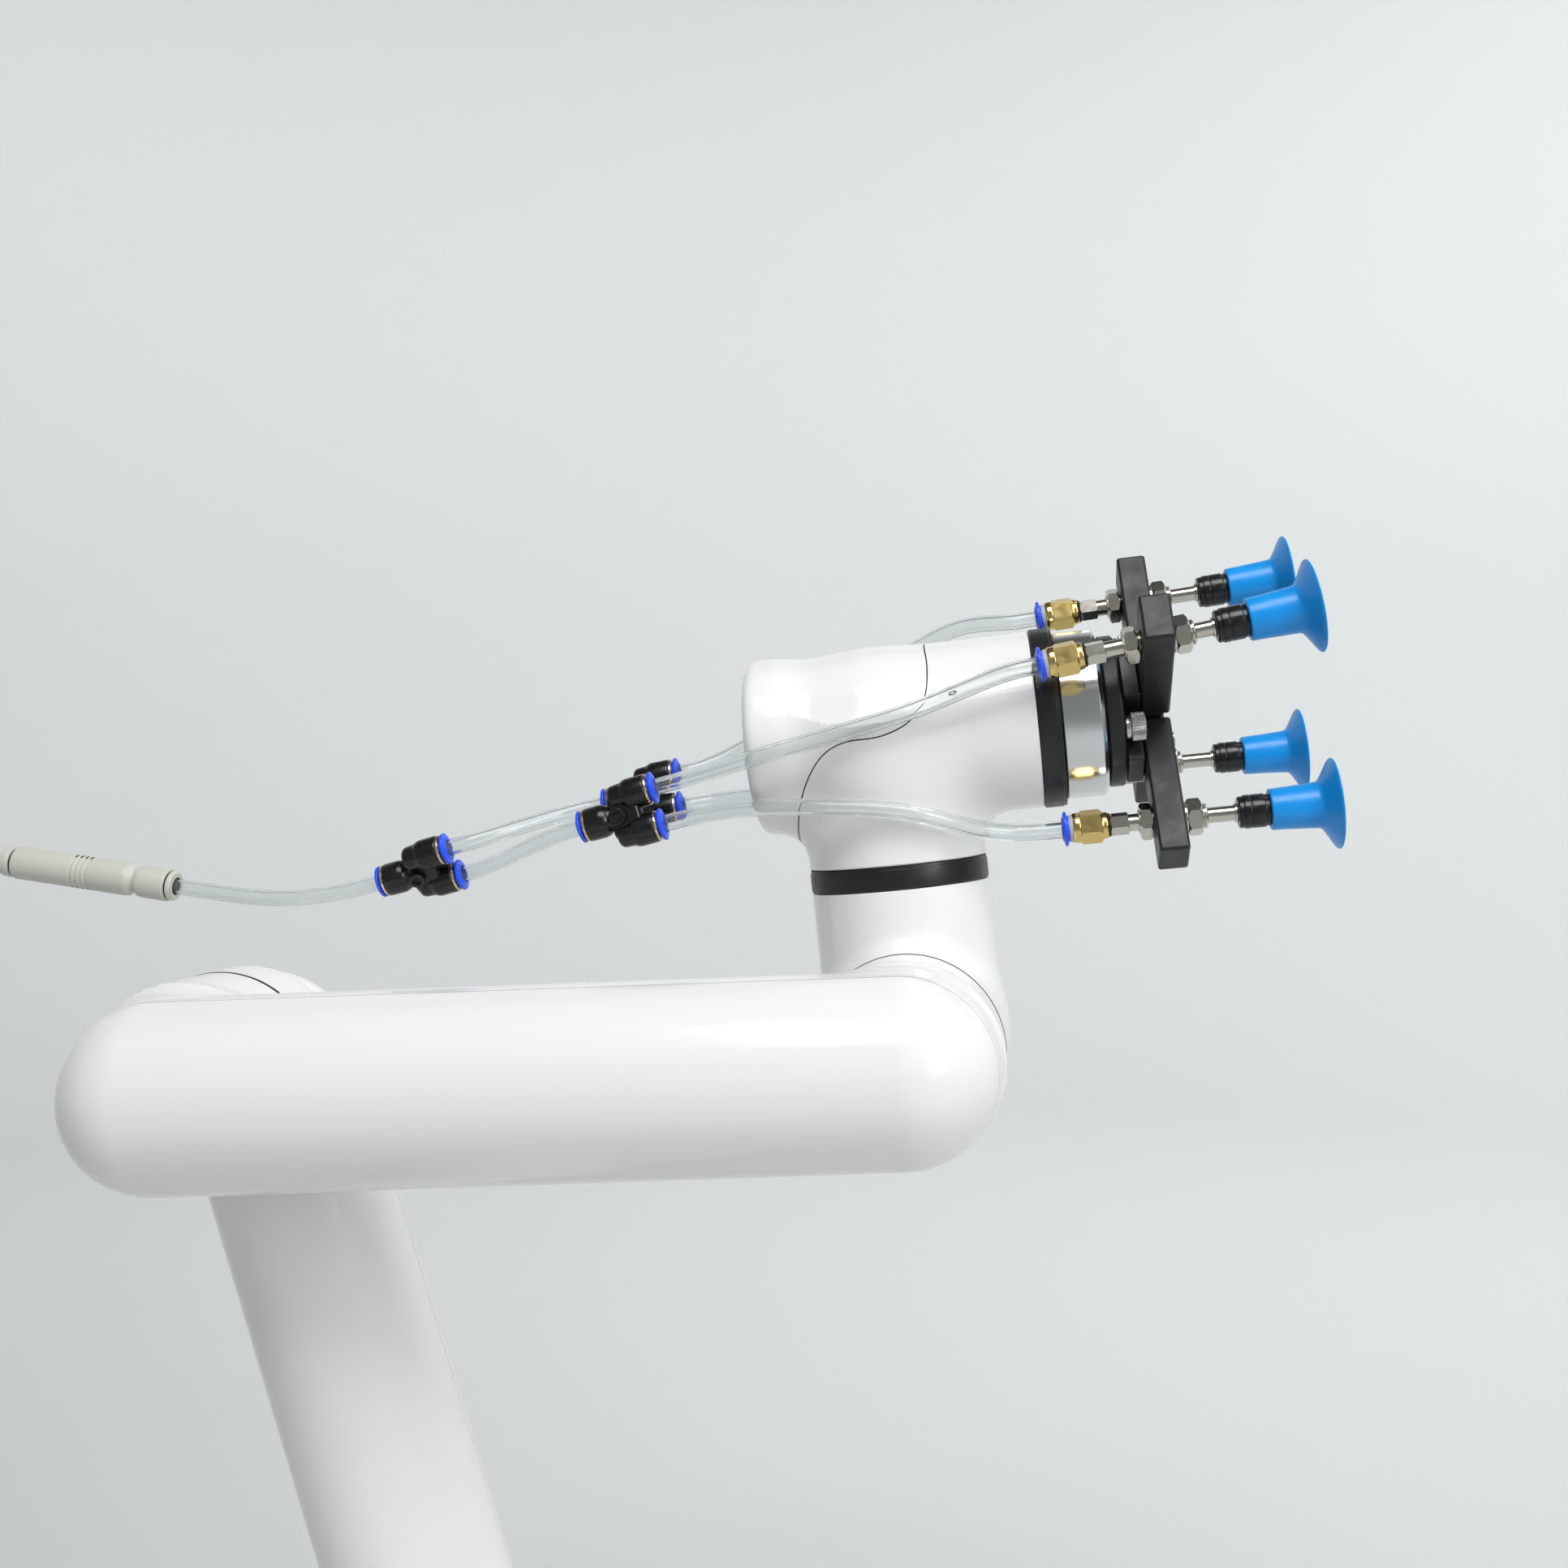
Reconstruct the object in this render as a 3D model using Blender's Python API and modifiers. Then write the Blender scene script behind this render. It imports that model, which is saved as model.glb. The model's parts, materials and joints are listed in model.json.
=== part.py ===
"""Desktop six-joint robot arm with a four-cup vacuum gripper.

Metres, +Z up.  The origin is the centre of the base's underside, on the axis of the first joint.
Each moving body hangs from an empty that sits on its joint's axis: the arm is a chain of empties,
and the tilts at the top of the file set the stored pose.
"""
import math

import bmesh
import bpy
from mathutils import Matrix, Vector

MM = 0.001
GAP = 0.3 * MM            # between pieces that touch
WALL = 2.8 * MM           # casting wall of the links
FINE = 24                 # facets round a link
MEDIUM = 16               # facets round a small turned piece
SMALL = 10                # facets round a rod or a bore

# The chain: where each joint sits in the frame of the one before, and the tilt of each link.
SHOULDER_SPLIT_Z = 100 * MM
SHOULDER_AXIS_Z = 219 * MM
UPPER_ARM_Y = 106 * MM
UPPER_ARM_LENGTH = 250 * MM
FOREARM_LENGTH = 250 * MM
FOREARM_OFFSET_Y = -75 * MM
WRIST_OFFSET_Y = 78 * MM
COLUMN_LENGTH = 108.8 * MM
UPPER_ARM_TILT = math.radians(-17.3)
FOREARM_TILT = math.radians(-3.1)
COLUMN_TILT = math.radians(-5.5)

# Base.
PLATE_R = 96 * MM
PLATE_T = 10 * MM
FOOT_R = 78 * MM
NECK_R = 56 * MM
BASE_WALL = 5 * MM
PANEL_W = 66 * MM
PANEL_H = 40 * MM
PANEL_Z = 36 * MM
PANEL_FACE_Y = 79 * MM
PANEL_T = 9 * MM
SOCKET_R = 5.5 * MM
SOCKET_DEPTH = 6.5 * MM
SOCKET_XS = (-22 * MM, -2 * MM)
PORTS = ((-20 * MM, 8 * MM), (2 * MM, 7 * MM), (22 * MM, 6 * MM))
PORT_Z = (21 * MM, 31 * MM)
BACK_HALF_W = 38 * MM
BOLT_CIRCLE_R = 87 * MM
BOLT_HOLE_R = 3.5 * MM
BACK_Y = 82 * MM
BUTTON_R = 7 * MM
BUTTON_X = 22 * MM
BUTTON_Z = 44 * MM

# Links.
SHOULDER_R = 48 * MM
SHOULDER_TUBE_R = 44 * MM
SHOULDER_FRONT_Y = -50 * MM
SHOULDER_REAR_Y = 72.3 * MM
UPPER_ARM_R = 33.3 * MM
UPPER_ARM_STUB_R = 42 * MM
ELBOW_R = 36.9 * MM
ELBOW_FACE_Y = -33.1 * MM     # face of the upper arm's two stubs, in its own frame
UPPER_ARM_SEAM_Y = 6.5 * MM
FOREARM_R_ELBOW = 33.3 * MM
FOREARM_R_WRIST = 31.4 * MM
FOREARM_SEAM_Y = -6.5 * MM
FOREARM_ELBOW_FACE = 41.3 * MM
FOREARM_WRIST_FACE = 36.4 * MM
WRIST_STUB_R = 32.9 * MM
STUB_BLEND = 12 * MM

# Wrist and tool, along the last joint's axis from the point where it meets the column's axis.
COLUMN_R = 32.2 * MM
WRIST_1_STUB_FACE = -41.0 * MM
WRIST_1_TOP = 53.9 * MM
RING_R = 32.3 * MM
RING_BORE_R = 24 * MM
J5_RING = (-54.6 * MM, -46.6 * MM)
WRIST_2_R = 32.0 * MM
COVER_END = -48 * MM
WRIST_2_END = 54.6 * MM
J6_RING = (54.9 * MM, 62.6 * MM)
FLANGE = (62.9 * MM, 77.8 * MM)
FLANGE_R = 29.8 * MM
ADAPTER = (78.1 * MM, 84.0 * MM)
ADAPTER_R = 27 * MM
HUB_BACK = 84.3 * MM
ARM_PLANE = 95.5 * MM
ARM_T = 10.3 * MM
ARM_W = 17 * MM
ARM_SPAN = (9 * MM, 60 * MM)
DRIVE_SHAFT_R = 20 * MM

# Parting line of the wrist's end cover, in the plane of the two wrist axes.
COVER_SEAM = (
    (-0.0345, -0.0400), (-0.0334, -0.0310), (-0.0286, -0.0175), (-0.0213, -0.0069),
    (-0.0122, -0.0022), (0.0006, -0.0015), (0.0112, 0.0027), (0.0172, 0.0112),
    (0.0186, 0.0219), (0.0177, 0.0300), (0.0174, 0.0400),
)

# Suction cups: angle round the tool axis from the side facing -Y, upward tilt, and how far the
# sprung rod stands out from its middle place.
CUP_CIRCLE_R = 44.8 * MM
CUPS = {
    "near_top": (27.5, 6.0, -3.0 * MM),
    "far_top": (117.5, 2.5, 0.0),
    "far_bottom": (207.5, 0.0, 2.0 * MM),
    "near_bottom": (297.5, 0.0, 0.5 * MM),
}
SLEEVE_R = 4.35 * MM
SLEEVE_BORE_R = 3.35 * MM
NUT_R = 6.5 * MM
REAR_NUT_T = 4.2 * MM
FRONT_NUT_T = 4.9 * MM
FRONT_NUT_STAND = 1.1 * MM
THREAD_END = 1.8 * MM
ROD_HEX = (-20.2 * MM, -14.0 * MM)
ROD_TIP = 22.5 * MM
FITTING = (-36.6 * MM, -20.5 * MM)
HOLDER = (22.8 * MM, 33.0 * MM)
HOLDER_R = 5.8 * MM
CUP_START = 33.3 * MM
CUP_NECK = 49.8 * MM
CUP_RIM = 55.2 * MM
CUP_RIM_R = 15.6 * MM

# Vacuum line, in the wrist frame: u along the tool axis, y, v up the column.
HOSE_R = 3 * MM
HOSE_STEP = 13 * MM
# Each splitter: inlet face, pitch about Y, roll about its own length.
SPLITTERS = {
    "splitter_near": ((-113.9, -14.0, -22.4), 9.5, 0.0),
    "splitter_far": ((-111.8, 16.0, -14.6), 5.0, -20.0),
    "splitter_main": ((-196.3, -4.0, -35.5), 9.5, 40.0),
}
SPLITTER_LENGTH = 31.5 * MM
SPLITTER_EYE_X = 15.8 * MM
SPLITTER_EYE_R = 3.2 * MM
SPLITTER_HOLE_R = 1.6 * MM
OUTLET_SPACING = 13.7 * MM
INLET_R = 6.2 * MM
OUTLET_R = 5.8 * MM
EJECTOR_ENDS = ((-348.3, -4.0, -12.7), (-278.3, -4.0, -29.4))
EJECTOR_R = 6.5 * MM
EJECTOR_BORE_R = 3.6 * MM
EJECTOR_BORE_DEPTH = 14 * MM
EXHAUST_START = 30 * MM
EXHAUST_PITCH = 2.1 * MM
EXHAUST_SLOT = 1.1 * MM


def clear_scene():
    for obj in list(bpy.data.objects):
        bpy.data.objects.remove(obj, do_unlink=True)


def new_collection(name):
    collection = bpy.data.collections.new(name)
    bpy.context.scene.collection.children.link(collection)
    return collection


def principled(name, color, roughness, metallic=0.0, transmission=0.0):
    mat = bpy.data.materials.new(name)
    mat.use_nodes = True
    shader = mat.node_tree.nodes["Principled BSDF"]
    shader.inputs["Base Color"].default_value = (*color, 1.0)
    shader.inputs["Roughness"].default_value = roughness
    shader.inputs["Metallic"].default_value = metallic
    shader.inputs["Transmission Weight"].default_value = transmission
    mat.diffuse_color = (*color, 1.0)
    return mat


clear_scene()
PARTS = new_collection("desktop_robot_arm")
CUTTERS = new_collection("cutters")
WHITE = principled("white_shell", (0.86, 0.87, 0.87), 0.18)
BLACK = principled("satin_black", (0.016, 0.016, 0.018), 0.42)
STEEL = principled("machined_steel", (0.45, 0.46, 0.47), 0.35, 1.0)
ALUMINIUM = principled("turned_aluminium", (0.80, 0.81, 0.82), 0.22, 1.0)
NICKEL = principled("nickel", (0.74, 0.72, 0.68), 0.15, 1.0)
BRASS = principled("brass", (0.78, 0.58, 0.25), 0.25, 1.0)
BLUE = principled("blue_silicone", (0.02, 0.30, 0.80), 0.35)
CLEAR = principled("clear_hose", (0.90, 0.94, 0.94), 0.08, 0.0, 0.9)
GREY = principled("grey_plastic", (0.60, 0.60, 0.55), 0.40)
GREEN = principled("circuit_board", (0.03, 0.16, 0.07), 0.50)


# --- building blocks -------------------------------------------------------------------------

def link(obj, parent, mat=None, cutter=False):
    """Put an object in its collection, under its frame, with its material."""
    (CUTTERS if cutter else PARTS).objects.link(obj)
    obj.parent = parent
    if cutter:
        obj.hide_render = True
        obj.display_type = "WIRE"
    elif mat is not None:
        obj.data.materials.append(mat)
    return obj


def frame(name, parent=None, location=(0, 0, 0), tilt=0.0):
    obj = bpy.data.objects.new(name, None)
    obj.empty_display_size = 0.03
    obj.location = location
    obj.rotation_euler = (0.0, tilt, 0.0)
    return link(obj, parent)


def arc(centre_r, centre_z, radius, start, end, steps):
    """Points on an arc in the profile plane; angles in degrees from +r towards +z."""
    points = []
    for i in range(steps + 1):
        angle = math.radians(start + (end - start) * i / steps)
        points.append((centre_r + radius * math.cos(angle), centre_z + radius * math.sin(angle)))
    return points


AXIS_TURN = {"z": (0, 0, 0), "x": (0, math.pi / 2, 0), "y": (-math.pi / 2, 0, 0),
             "-y": (math.pi / 2, 0, 0)}


def turned(name, profile, parent, mat=None, axis="z", at=(0, 0, 0), steps=MEDIUM, ring=False,
           cutter=False):
    """A solid of revolution.  The profile lists (radius, height) from the top down its outer
    side; a ring's profile goes back up its bore and closes."""
    mesh = bpy.data.meshes.new(name)
    verts = [(r, 0.0, z) for r, z in profile]
    edges = [(i, i + 1) for i in range(len(verts) - 1)]
    if ring:
        edges.append((len(verts) - 1, 0))
    mesh.from_pydata(verts, edges, [])
    obj = bpy.data.objects.new(name, mesh)
    obj.location = at
    obj.rotation_euler = AXIS_TURN[axis]
    screw = obj.modifiers.new("turn", "SCREW")
    screw.steps = steps
    screw.render_steps = steps
    screw.use_merge_vertices = True
    screw.merge_threshold = 0.00001
    return link(obj, parent, mat, cutter)


def disc(name, radius, low, high, parent, mat=None, edge=0.0, **options):
    """A plain turned disc or plug between two heights, with a small chamfer."""
    profile = [(0.0, high), (radius - edge, high), (radius, high - edge),
               (radius, low + edge), (radius - edge, low), (0.0, low)]
    if edge == 0.0:
        profile = [(0.0, high), (radius, high), (radius, low), (0.0, low)]
    return turned(name, profile, parent, mat, **options)


def washer(name, radius, bore, low, high, parent, mat=None, edge=0.0, **options):
    profile = [(radius - edge, high), (radius, high - edge), (radius, low + edge),
               (radius - edge, low), (bore, low), (bore, high)]
    if edge == 0.0:
        profile = [(radius, high), (radius, low), (bore, low), (bore, high)]
    return turned(name, profile, parent, mat, ring=True, **options)


def block(name, low, high, parent, mat=None, rotation=(0, 0, 0), bevel=0.0, cutter=False):
    """A box between two corners of its own frame."""
    mesh = bpy.data.meshes.new(name)
    bm = bmesh.new()
    bmesh.ops.create_cube(bm, size=1.0)
    size = Vector(high) - Vector(low)
    centre = (Vector(high) + Vector(low)) / 2
    bmesh.ops.transform(bm, matrix=Matrix.Translation(centre) @ Matrix.Diagonal((*size, 1.0)),
                        verts=bm.verts)
    bm.to_mesh(mesh)
    bm.free()
    obj = bpy.data.objects.new(name, mesh)
    obj.rotation_euler = rotation
    if bevel:
        edges = obj.modifiers.new("edges", "BEVEL")
        edges.width = bevel
        edges.segments = 1
    return link(obj, parent, mat, cutter)


def prism(name, sides, radius, low, high, parent, mat=None, axis="x", cutter=False, turn=0.0):
    """A regular prism along an axis; radius is to its corners."""
    mesh = bpy.data.meshes.new(name)
    bm = bmesh.new()
    bmesh.ops.create_cone(bm, cap_ends=True, segments=sides, radius1=radius, radius2=radius,
                          depth=high - low)
    shift = Matrix.Translation((0, 0, (low + high) / 2)) @ Matrix.Rotation(turn, 4, "Z")
    bmesh.ops.transform(bm, matrix=shift, verts=bm.verts)
    bm.to_mesh(mesh)
    bm.free()
    obj = bpy.data.objects.new(name, mesh)
    obj.rotation_euler = AXIS_TURN[axis]
    return link(obj, parent, mat, cutter)


def outline_prism(name, points, y_low, y_high, parent):
    """A cutter: an outline in the frame's XZ plane, drawn out along Y."""
    mesh = bpy.data.meshes.new(name)
    bm = bmesh.new()
    face = bm.faces.new([bm.verts.new((x, y_low, z)) for x, z in points])
    grown = bmesh.ops.extrude_face_region(bm, geom=[face])
    moved = [item for item in grown["geom"] if isinstance(item, bmesh.types.BMVert)]
    bmesh.ops.translate(bm, vec=(0, y_high - y_low, 0), verts=moved)
    bmesh.ops.recalc_face_normals(bm, faces=bm.faces)
    bm.to_mesh(mesh)
    bm.free()
    return link(bpy.data.objects.new(name, mesh), parent, cutter=True)


def combine(obj, other, operation):
    step = obj.modifiers.new(operation.lower(), "BOOLEAN")
    step.operation = operation
    step.solver = "EXACT"
    step.object = other
    return obj


def cut(obj, *others):
    for other in others:
        combine(obj, other, "DIFFERENCE")
    return obj


def join(obj, *others):
    for other in others:
        combine(obj, other, "UNION")
    return obj


def capsule_profile(length, r_low, r_high, steps=6):
    """A tube with round ends whose radius runs from r_low at z = 0 to r_high at z = length."""
    top = arc(0.0, length, r_high, 90, 0, steps)
    bottom = arc(0.0, 0.0, r_low, 0, -90, steps)
    top[0] = (0.0, top[0][1])
    bottom[-1] = (0.0, bottom[-1][1])
    return top + bottom


def smooth_points(controls, step):
    """A smooth curve through the control points, cut into nearly equal steps."""
    points = [Vector(c) for c in controls]
    points = [points[0] * 2 - points[1]] + points + [points[-1] * 2 - points[-2]]
    result = [points[1]]
    for p0, p1, p2, p3 in zip(points, points[1:], points[2:], points[3:]):
        count = max(1, round((p2 - p1).length / step))
        for i in range(1, count + 1):
            t = i / count
            result.append(0.5 * (2 * p1 + (p2 - p0) * t + (2 * p0 - 5 * p1 + 4 * p2 - p3) * t * t
                                 + (3 * p1 - p0 - 3 * p2 + p3) * t ** 3))
    return result


def hose(name, route, parent):
    """A hose along a smooth curve through its route's points."""
    curve = bpy.data.curves.new(name, "CURVE")
    curve.dimensions = "3D"
    curve.bevel_depth = HOSE_R
    curve.bevel_resolution = 2
    curve.use_fill_caps = True
    points = smooth_points(route, HOSE_STEP)
    spline = curve.splines.new("POLY")
    spline.points.add(len(points) - 1)
    for target, point in zip(spline.points, points):
        target.co = (*point, 1.0)
    return link(bpy.data.objects.new(name, curve), parent, CLEAR)


def drive(name, radius, low, high, shaft_end, parent, axis="z", shaft_r=DRIVE_SHAFT_R):
    """A joint's motor and reducer in one can: a mounting rim, a finned waist, an encoder cap and
    the output boss that drives the next link."""
    waist = radius - 3 * MM
    rim = 7 * MM
    profile = [(0.0, shaft_end), (shaft_r, shaft_end), (shaft_r, high), (radius, high),
               (radius, high - rim), (waist, high - rim), (waist, low + 8 * MM),
               (radius * 0.7, low + 8 * MM), (radius * 0.7, low), (0.0, low)]
    return turned(name, profile, parent, STEEL, axis=axis)


# --- base ------------------------------------------------------------------------------------

def make_base_plate(base):
    plate = disc("base_plate", PLATE_R, 0.0, PLATE_T, base, STEEL, edge=1 * MM, steps=36)
    for i in range(4):
        angle = math.radians(45 + 90 * i)
        spot = (BOLT_CIRCLE_R * math.cos(angle), BOLT_CIRCLE_R * math.sin(angle), 0.0)
        hole = disc(f"bolt_hole_{i}", BOLT_HOLE_R, -PLATE_T, 2 * PLATE_T, base, at=spot,
                    steps=SMALL, cutter=True)
        cut(plate, hole)


def make_base_housing(base):
    low = PLATE_T + GAP
    high = SHOULDER_SPLIT_Z - 3 * MM
    waist_z = 58 * MM
    outer = [(NECK_R, high), (NECK_R + 2 * MM, high - 6 * MM), (NECK_R + 8 * MM, 76 * MM)]
    outer += [(FOOT_R - 4 * MM, waist_z), (FOOT_R, 40 * MM), (FOOT_R, low)]
    inner = [(r - BASE_WALL, z) for r, z in reversed(outer)]
    inner[0] = (FOOT_R - BASE_WALL, low)
    inner[-1] = (46 * MM, high - BASE_WALL)
    profile = outer + inner + [(46 * MM, high)]
    housing = turned("base_housing", profile, base, WHITE, steps=32, ring=True)
    back = block("back_box", (-BACK_HALF_W, 50 * MM, low), (BACK_HALF_W, BACK_Y, 64 * MM),
                 base, bevel=3 * MM, cutter=True)
    hollow = block("back_hollow", (-BACK_HALF_W + 4 * MM, 30 * MM, low - 5 * MM),
                   (BACK_HALF_W - 4 * MM, BACK_Y - 4.4 * MM, 59.2 * MM), base, cutter=True)
    window = block("panel_window", (-PANEL_W / 2 - GAP, 60 * MM, PANEL_Z - PANEL_H / 2 - GAP),
                   (PANEL_W / 2 + GAP, BACK_Y + 9 * MM, PANEL_Z + PANEL_H / 2 + GAP), base,
                   cutter=True)
    join(housing, back)
    cut(housing, hollow, window)


def make_connector_panel(base):
    low_z = PANEL_Z - PANEL_H / 2
    panel = block("connector_panel", (-PANEL_W / 2, PANEL_FACE_Y - PANEL_T, low_z),
                  (PANEL_W / 2, PANEL_FACE_Y, PANEL_Z + PANEL_H / 2), base, BLACK)
    for i, x in enumerate(SOCKET_XS):
        place = {"axis": "y", "at": (x, 0, BUTTON_Z), "steps": MEDIUM, "cutter": True}
        collar = disc(f"socket_collar_{i}", SOCKET_R + 2 * MM, PANEL_FACE_Y - 4 * MM,
                      PANEL_FACE_Y + 2.6 * MM, base, **place)
        hollow = disc(f"socket_hollow_{i}", SOCKET_R, PANEL_FACE_Y - SOCKET_DEPTH,
                      PANEL_FACE_Y + 9 * MM, base, **place)
        join(panel, collar)
        cut(panel, hollow)
    for i, (x, half) in enumerate(PORTS):
        port = block(f"port_{i}", (x - half, PANEL_FACE_Y - SOCKET_DEPTH, PORT_Z[0]),
                     (x + half, PANEL_FACE_Y + 5 * MM, PORT_Z[1]), base, cutter=True)
        cut(panel, port)
    well = disc("button_well", BUTTON_R + GAP, PANEL_FACE_Y - 19 * MM, PANEL_FACE_Y + 9 * MM,
                base, axis="y", at=(BUTTON_X, 0, BUTTON_Z), steps=MEDIUM, cutter=True)
    cut(panel, well)


def make_power_button(base):
    button = frame("power_button_frame", base, (BUTTON_X, PANEL_FACE_Y, BUTTON_Z))
    disc("power_button", BUTTON_R, -10 * MM, 2.8 * MM, button, BLACK, edge=0.8 * MM, axis="y",
         steps=MEDIUM)


def make_controller_board(base):
    board = block("controller_board", (-50 * MM, -42 * MM, 16 * MM), (50 * MM, 30 * MM, 18 * MM),
                  base, GREEN)
    for i, (x, y) in enumerate(((-44, -36), (44, -36), (-44, 24), (44, 24))):
        post = prism(f"post_{i}", 6, 3.5 * MM, PLATE_T + GAP, 17 * MM, base, axis="z",
                     cutter=True)
        post.location = (x * MM, y * MM, 0)
        join(board, post)
    chips = (((-30, -25, 17), (0, 5, 27)), ((12, -30, 17), (32, -10, 23)),
             ((10, 5, 17), (40, 18, 30)))
    for i, (low, high) in enumerate(chips):
        join(board, block(f"chip_{i}", [c * MM for c in low], [c * MM for c in high], base,
                          cutter=True))


def make_base(base):
    make_base_plate(base)
    make_base_housing(base)
    make_connector_panel(base)
    make_power_button(base)
    make_controller_board(base)
    drive("joint_1_drive", 45.5 * MM, 42 * MM, 96.5 * MM, SHOULDER_SPLIT_Z + 12 * MM, base,
          shaft_r=30 * MM)


# --- shoulder --------------------------------------------------------------------------------

def make_shoulder(shoulder):
    """The frame is on the first joint's axis at the split; the tube runs along Y at the second."""
    rise = SHOULDER_AXIS_Z - SHOULDER_SPLIT_Z
    inner_r = SHOULDER_R - 7 * MM
    skirt = [(SHOULDER_R, rise - 1 * MM), (SHOULDER_R, GAP + 3 * MM),
             (SHOULDER_R - 3 * MM, GAP), (30.5 * MM, GAP), (30.5 * MM, 9 * MM),
             (inner_r, 9 * MM), (inner_r, rise - 1 * MM)]
    housing = turned("shoulder_housing", skirt, shoulder, WHITE, steps=FINE, ring=True)
    tube_at = (0, 0, rise)
    tube = disc("shoulder_tube", SHOULDER_TUBE_R + 4.4 * MM, SHOULDER_FRONT_Y, SHOULDER_REAR_Y,
                shoulder, edge=2 * MM, axis="y", at=tube_at, steps=FINE, cutter=True)
    bore = disc("shoulder_bore", SHOULDER_TUBE_R + 0.4 * MM, SHOULDER_FRONT_Y - 9 * MM,
                SHOULDER_REAR_Y + 9 * MM, shoulder, axis="y", at=tube_at, steps=FINE,
                cutter=True)
    join(housing, tube)
    cut(housing, bore)
    cap = [(0.0, 11 * MM), (20 * MM, 9.5 * MM), (36 * MM, 5.5 * MM), (44 * MM, 1.5 * MM),
           (SHOULDER_TUBE_R + 2 * MM, 0.0), (0.0, 0.0)]
    turned("shoulder_cap", cap, shoulder, WHITE, axis="-y",
           at=(0, SHOULDER_FRONT_Y - GAP, rise), steps=FINE)
    second = frame("joint_2_drive_frame", shoulder, tube_at)
    drive("joint_2_drive", SHOULDER_TUBE_R, -20 * MM, 62 * MM, SHOULDER_REAR_Y + 8 * MM, second,
          axis="y", shaft_r=26 * MM)


# --- links -----------------------------------------------------------------------------------

def stub(name, radius, face, root_r, parent, axis, at):
    """The round boss that carries a joint, widening from the link's own round end."""
    profile = [(0.0, face), (radius - 0.6 * MM, face), (radius, face - 0.6 * MM),
               (radius, STUB_BLEND), (root_r - 7 * MM, -6 * MM), (0.0, -8 * MM)]
    return turned(name, profile, parent, axis=axis, at=at, steps=FINE, cutter=True)


def make_upper_arm(arm):
    """A tube up the frame's Z, with a boss towards -Y at each end."""
    outer = capsule_profile(UPPER_ARM_LENGTH, UPPER_ARM_R, UPPER_ARM_R)
    inner = capsule_profile(UPPER_ARM_LENGTH, UPPER_ARM_R - WALL, UPPER_ARM_R - WALL, 4)
    top = (0, 0, UPPER_ARM_LENGTH)
    face = -ELBOW_FACE_Y
    hollow = turned("upper_arm_hollow", inner, arm, steps=MEDIUM, cutter=True)
    reach = 200 * MM
    behind = block("upper_arm_behind", (-reach, UPPER_ARM_SEAM_Y - GAP / 2, -reach),
                   (reach, reach, 3 * reach), arm, cutter=True)
    before = block("upper_arm_before", (-reach, -reach, -reach),
                   (reach, UPPER_ARM_SEAM_Y + GAP / 2, 3 * reach), arm, cutter=True)
    front = turned("upper_arm_front_shell", outer, arm, WHITE, steps=FINE)
    join(front, stub("lower_boss", UPPER_ARM_STUB_R, face, UPPER_ARM_R, arm, "-y", (0, 0, 0)),
         stub("upper_boss", ELBOW_R, face, UPPER_ARM_R, arm, "-y", top))
    bores = (disc("lower_bore", 27 * MM, 9 * MM, 90 * MM, arm, axis="-y", cutter=True),
             disc("upper_bore", 29 * MM, 7 * MM, 90 * MM, arm, axis="-y", at=top, steps=FINE - 1,
                  cutter=True))
    cut(front, hollow, *bores, behind)
    rear = turned("upper_arm_rear_shell", outer, arm, WHITE, steps=FINE)
    cut(rear, hollow, before)
    third = frame("joint_3_drive_frame", arm, top)
    drive("joint_3_drive", UPPER_ARM_R - WALL - 2.5 * MM, -16 * MM, face - 0.6 * MM,
          face + 9 * MM, third, axis="-y", shaft_r=18 * MM)


def make_forearm(forearm):
    """A tube along the frame's X, with a boss towards +Y at each end."""
    outer = capsule_profile(FOREARM_LENGTH, FOREARM_R_ELBOW, FOREARM_R_WRIST)
    inner = capsule_profile(FOREARM_LENGTH, FOREARM_R_ELBOW - WALL, FOREARM_R_WRIST - WALL, 4)
    far = (FOREARM_LENGTH, 0, 0)
    hollow = turned("forearm_hollow", inner, forearm, axis="x", steps=MEDIUM, cutter=True)
    reach = 200 * MM
    behind = block("forearm_behind", (-reach, FOREARM_SEAM_Y - GAP / 2, -reach),
                   (3 * reach, reach, reach), forearm, cutter=True)
    before = block("forearm_before", (-reach, -reach, -reach),
                   (3 * reach, FOREARM_SEAM_Y + GAP / 2, reach), forearm, cutter=True)
    front = turned("forearm_front_shell", outer, forearm, WHITE, axis="x", steps=FINE)
    cut(front, hollow, behind)
    rear = turned("forearm_rear_shell", outer, forearm, WHITE, axis="x", steps=FINE)
    join(rear, stub("elbow_boss", ELBOW_R, FOREARM_ELBOW_FACE, FOREARM_R_ELBOW, forearm, "y",
                    (0, 0, 0)),
         stub("wrist_boss", WRIST_STUB_R, FOREARM_WRIST_FACE, FOREARM_R_WRIST, forearm, "y",
              far))
    bores = (disc("elbow_bore", 22 * MM, 9 * MM, 90 * MM, forearm, axis="y", cutter=True),
             disc("wrist_bore", 27.4 * MM, 7 * MM, 90 * MM, forearm, axis="y", at=far,
                  steps=FINE - 1, cutter=True))
    cut(rear, hollow, *bores, before)
    fourth = frame("joint_4_drive_frame", forearm, far)
    drive("joint_4_drive", FOREARM_R_WRIST - WALL - 2.5 * MM, -16 * MM,
          FOREARM_WRIST_FACE - 0.6 * MM, FOREARM_WRIST_FACE + 8 * MM, fourth, axis="y",
          shaft_r=16 * MM)


# --- wrist -----------------------------------------------------------------------------------

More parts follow.
